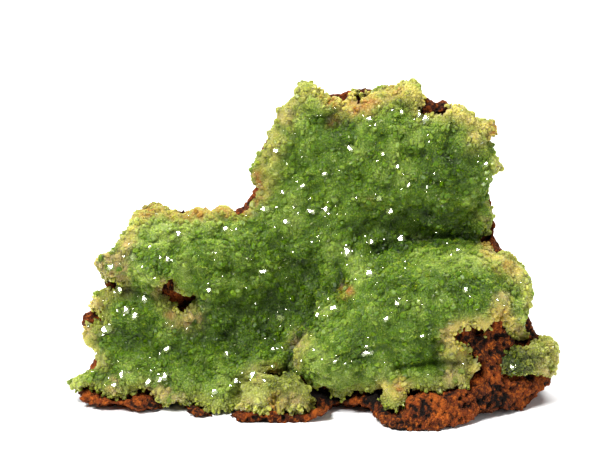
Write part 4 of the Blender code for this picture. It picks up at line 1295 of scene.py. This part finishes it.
@dataclass
class BrightCrystals:
    """The larger clear crystals, one roof face of each turned to catch the key lamp."""

    finish: ClearAdamiteFinish = ClearAdamiteFinish()
    scattered: int = 900
    beside: int = 2
    raised: float = 0.35
    size_mm: tuple = (1.4, 0.8, 0.7)
    seed: int = 5
    # The u, v and width of each of the crystals that flash most.
    main: tuple = (
        (-37.8, 18.3, 1.5), (-37.1, 30.0, 1.3), (-36.5, 8.1, 1.0), (-36.0, 25.4, 1.4), (-34.9, 9.9, 1.2),
        (-34.6, 21.7, 1.4), (-33.0, 20.7, 1.6), (-32.7, 31.4, 1.2), (-31.0, 23.7, 1.2), (-30.4, 8.7, 1.4),
        (-28.4, 9.0, 1.1), (-27.4, 9.6, 1.1), (-27.0, 14.7, 1.1), (-27.0, 31.1, 1.2), (-24.9, 35.6, 1.2),
        (-19.3, 25.6, 1.1), (-18.1, 6.7, 1.0), (-16.3, 13.4, 0.9), (-16.0, 36.3, 1.2), (-14.7, 8.7, 1.1),
        (-11.0, 9.9, 1.4), (-9.3, 29.0, 1.4), (-8.7, 40.2, 1.4), (-7.5, 14.1, 1.0), (-6.7, 51.3, 1.3),
        (-6.2, 20.1, 1.2), (-5.4, 43.4, 0.9), (-4.8, 38.0, 1.2), (-2.1, 44.6, 1.1), (-0.5, 40.0, 1.2),
        (1.0, 20.7, 0.9), (1.9, 46.8, 0.9), (2.3, 40.1, 1.1), (3.7, 21.6, 1.2), (3.9, 12.8, 1.2),
        (6.0, 32.3, 1.6), (6.8, 51.3, 1.2), (9.7, 14.3, 1.6), (10.1, 56.4, 1.1), (10.2, 28.1, 1.4),
        (10.3, 34.2, 1.1), (11.9, 42.4, 1.0), (12.5, 50.4, 0.9), (13.0, 20.5, 1.0), (13.8, 39.9, 1.4),
        (14.9, 48.1, 0.9), (15.1, 23.0, 1.2), (15.7, 35.1, 1.7), (15.8, 57.9, 1.0), (17.1, 44.7, 1.0),
        (18.9, 57.3, 1.0), (19.6, 17.4, 0.9), (20.5, 56.4, 1.2), (26.5, 32.4, 1.1), (31.3, 48.5, 0.9),
        (36.3, 11.4, 0.9), (-7.2, 11.6, 0.7), (27.4, 25.4, 0.8),
    )

    def build(self, beds: list[Skin]) -> bpy.types.Object:
        """Makes the piece.

        Args:
            beds: The skins that the crystals stand on.

        Returns:
            The piece, dressed and riding on its body.
        """
        draw = np.random.default_rng(self.seed)
        places = [(u, v, 0.92 * size) for u, v, size in self.main]
        places += [(u + draw.normal(0.0, 1.0), v + draw.normal(0.0, 0.8), size * draw.uniform(0.22, 0.45))
                   for u, v, size in self.main for _ in range(self.beside)]
        places += zip(draw.uniform(-42.0, 38.0, self.scattered), draw.uniform(8.0, 60.0, self.scattered),
                      draw.uniform(0.16, 0.45, self.scattered))
        grounds = [(bed.tree(), bed.faces, bed.normals()) for bed in beds]
        seats, ways, sizes = [], [], []
        for u, v, size in places:
            start = SIGHT.place(u, v, SIGHT_START)
            hits = [(*tree.ray_cast(start, SIGHT_LINE), faces, outward) for tree, faces, outward in grounds]
            hits = [hit for hit in hits if hit[0] is not None]
            if not hits:
                continue
            place, _, face, _, faces, outward = min(hits, key=lambda hit: hit[3])
            seats.append(place)
            ways.append(outward[faces[face]].sum(axis=0))
            sizes.append(np.array(self.size_mm) * size * draw.uniform(0.65, 1.2, 3))
        seats, ways, sizes = np.array(seats), unit(np.array(ways)), np.array(sizes)
        seats[:len(self.main)] += self.raised * ways[:len(self.main)]
        bright = unit(unit(np.array(KEY_LAMP) / MM - seats) - np.array(SIGHT_LINE))
        close = (1 + self.beside) * len(self.main)
        loose = np.where(np.arange(len(seats)) < close, 0.04, 0.12)[:, None]
        bright = unit(bright + draw.normal(0.0, 1.0, seats.shape) * loose)
        blunt = Wedges()
        pointed = Wedges(ridge=0.1, waist=0.75)
        axis, along = blunt.facing(ways, bright, sizes)
        odd = np.arange(len(seats)) % 3 > 0
        grown = pointed.grow(seats[odd], axis[odd], along[odd], sizes[odd])
        grown = grown.joined(blunt.grow(seats[~odd], axis[~odd], along[~odd], sizes[~odd]))
        piece = grown.make("adamite_clear_crystals", smooth=False)
        piece.data.materials.append(self.finish.material())
        return settle(piece, "adamite_crust")


@dataclass
class Tuft(Druse):
    """The pale cushion at the front, with a fringe of prisms round its foot."""

    prisms: int = 90
    prism_height: tuple = (0.6, 1.5)
    foot: float = 3.4
    lift: float = 1.9

    def bed(self) -> Skin:
        """Makes the cushion's surface.

        Returns:
            The surface, its underside raised off the sill of rock.
        """
        skin = super().bed()
        low = np.maximum(self.lift - skin.points[:, 2], 0.0)
        skin.points[:, 2] += 0.8 * low
        return skin

    def edging(self, bed: Skin) -> np.ndarray:
        """Picks the corners of the bed that the fringe may stand on: those low down in front."""
        return np.flatnonzero((bed.points[:, 2] < self.foot) & (bed.normals() @ np.array(SIGHT_LINE) < 0.2))


@dataclass
class Specimen:
    """The rock and the crusts on it."""

    druse: AdamiteFinish = AdamiteFinish("adamite_druse_as_grown")
    pale: AdamiteFinish = AdamiteFinish(
        "adamite_pale_as_grown", deep_shade="#26320a", body="#666c24", milk="#929450", rim="#8e8640")

    def build(self) -> list[bpy.types.Object]:
        """Makes every piece of the specimen.

        Returns:
            The pieces.
        """
        rock = LimoniteMatrix()
        pieces = [rock.build()]
        crust = Druse("adamite_crust", "adamite_druse", self.druse, rock)
        beds = [crust.bed()]
        grown = crust.crystals(beds[0])
        seen = SIGHT.project(grown.centres())
        lobe = within(LOBE, seen)
        block = within(BLOCK, seen) & ~lobe
        material = self.druse.material()
        for name, part in (("block", block), ("lobe", lobe), ("shoulder", ~block & ~lobe)):
            piece = grown.only(part).make("adamite_crust_" + name, smooth=False)
            piece.data.materials.append(material)
            pieces.append(settle(piece, crust.node))
        pale = self.pale.material()
        patches = {
            "front_tuft_crystals": Tuft(
                "front_tuft", "pale_adamite", self.pale, rock, Habit.PATCH, rounds=5,
                lumps=((3.4, 1.8), (1.5, 0.7)), bevel=1.0, larger=40, seed=2),
            "right_tip_crystals": Druse(
                "right_tip_crust", "pale_adamite", self.pale, rock, Habit.PATCH, rounds=5,
                lumps=((3.4, 1.5), (1.6, 0.6)), bevel=1.2, larger=40, prisms=160, seed=3),
        }
        for name, patch in patches.items():
            beds.append(patch.bed())
            piece = patch.crystals(beds[-1]).make(name, smooth=False)
            piece.data.materials.append(pale)
            pieces.append(settle(piece, patch.node))
        pieces.append(BrightCrystals().build(beds))
        return pieces


@dataclass
class Studio:
    """A white floor, soft lamps and the camera."""

    frame_width_mm: float = 110.0
    distance_mm: float = 1000.0
    target_mm: tuple = (-2.5, 0.0, 31.7)
    sensor_mm: float = 36.0
    floor_size: float = 6.0
    sky_strength: float = 0.16
    # The name, place, size and power of each lamp, in metres and watts.
    lamps: tuple = (
        ("key_softbox", KEY_LAMP, (0.36, 0.36), 19.0),
        ("fill_softbox", (0.75, -0.7, 0.45), (0.6, 0.6), 3.0),
        ("top_softbox", (0.0, 0.25, 1.1), (1.2, 1.0), 24.0),
    )

    def build(self) -> None:
        """Makes the floor, the lamps, the world and the camera."""
        self.lay_floor()
        for lamp in self.lamps:
            self.hang_lamp(*lamp)
        self.light_world()
        self.place_camera()

    def lay_floor(self) -> None:
        """Lays the white paper."""
        half = self.floor_size / 2
        mesh = bpy.data.meshes.new("paper_floor")
        mesh.from_pydata([(-half, -half, 0.0), (half, -half, 0.0), (half, half, 0.0), (-half, half, 0.0)],
                         [], [(0, 1, 2, 3)])
        mesh.materials.append(PaperFinish().material())
        link(mesh)

    @staticmethod
    def hang_lamp(name: str, place: tuple, size: tuple, power: float) -> None:
        """Hangs a soft lamp that points at the specimen.

        Args:
            name: The lamp's name.
            place: Where it hangs, in metres.
            size: Its width and height, in metres.
            power: Its power, in watts.
        """
        lamp = bpy.data.lights.new(name, "AREA")
        lamp.shape = "RECTANGLE"
        lamp.size, lamp.size_y = size
        lamp.energy = power
        holder = bpy.data.objects.new(name, lamp)
        holder.location = place
        aim = Vector((0.0, 0.0, 0.03)) - Vector(place)
        holder.rotation_euler = aim.to_track_quat("-Z", "Y").to_euler()
        bpy.context.scene.collection.objects.link(holder)

    def light_world(self) -> None:
        """Fills the shadows with even white light."""
        world = bpy.data.worlds.new("studio")
        bpy.context.scene.world = world
        world.use_nodes = True
        tree = world.node_tree
        tree.nodes.clear()
        light = add_node(tree, "ShaderNodeBackground", inputs={
            "Color": (1.0, 1.0, 1.0, 1.0), "Strength": self.sky_strength})
        add_node(tree, "ShaderNodeOutputWorld", inputs={"Surface": light.outputs["Background"]})

    def place_camera(self) -> None:
        """Places the camera in front of the specimen, looking down at SIGHT_ELEVATION."""
        lens = bpy.data.cameras.new("camera")
        lens.sensor_width = self.sensor_mm
        lens.lens = self.sensor_mm * self.distance_mm / self.frame_width_mm
        lens.clip_start = 0.05
        lens.clip_end = 20.0
        camera = bpy.data.objects.new("camera", lens)
        target = Vector(self.target_mm) * MM
        camera.location = target - SIGHT_LINE * self.distance_mm * MM
        camera.rotation_euler = SIGHT_LINE.to_track_quat("-Z", "Y").to_euler()
        bpy.context.scene.collection.objects.link(camera)
        bpy.context.scene.camera = camera
        bpy.context.scene.view_settings.view_transform = "Standard"


def main() -> None:
    """Builds the specimen and the studio."""
    logging.basicConfig(level=logging.INFO, format="%(message)s")
    for piece in Specimen().build():
        log.info("%s: %d faces", piece.name, len(piece.data.polygons))
    Studio().build()
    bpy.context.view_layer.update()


if __name__ == "__main__":
    main()
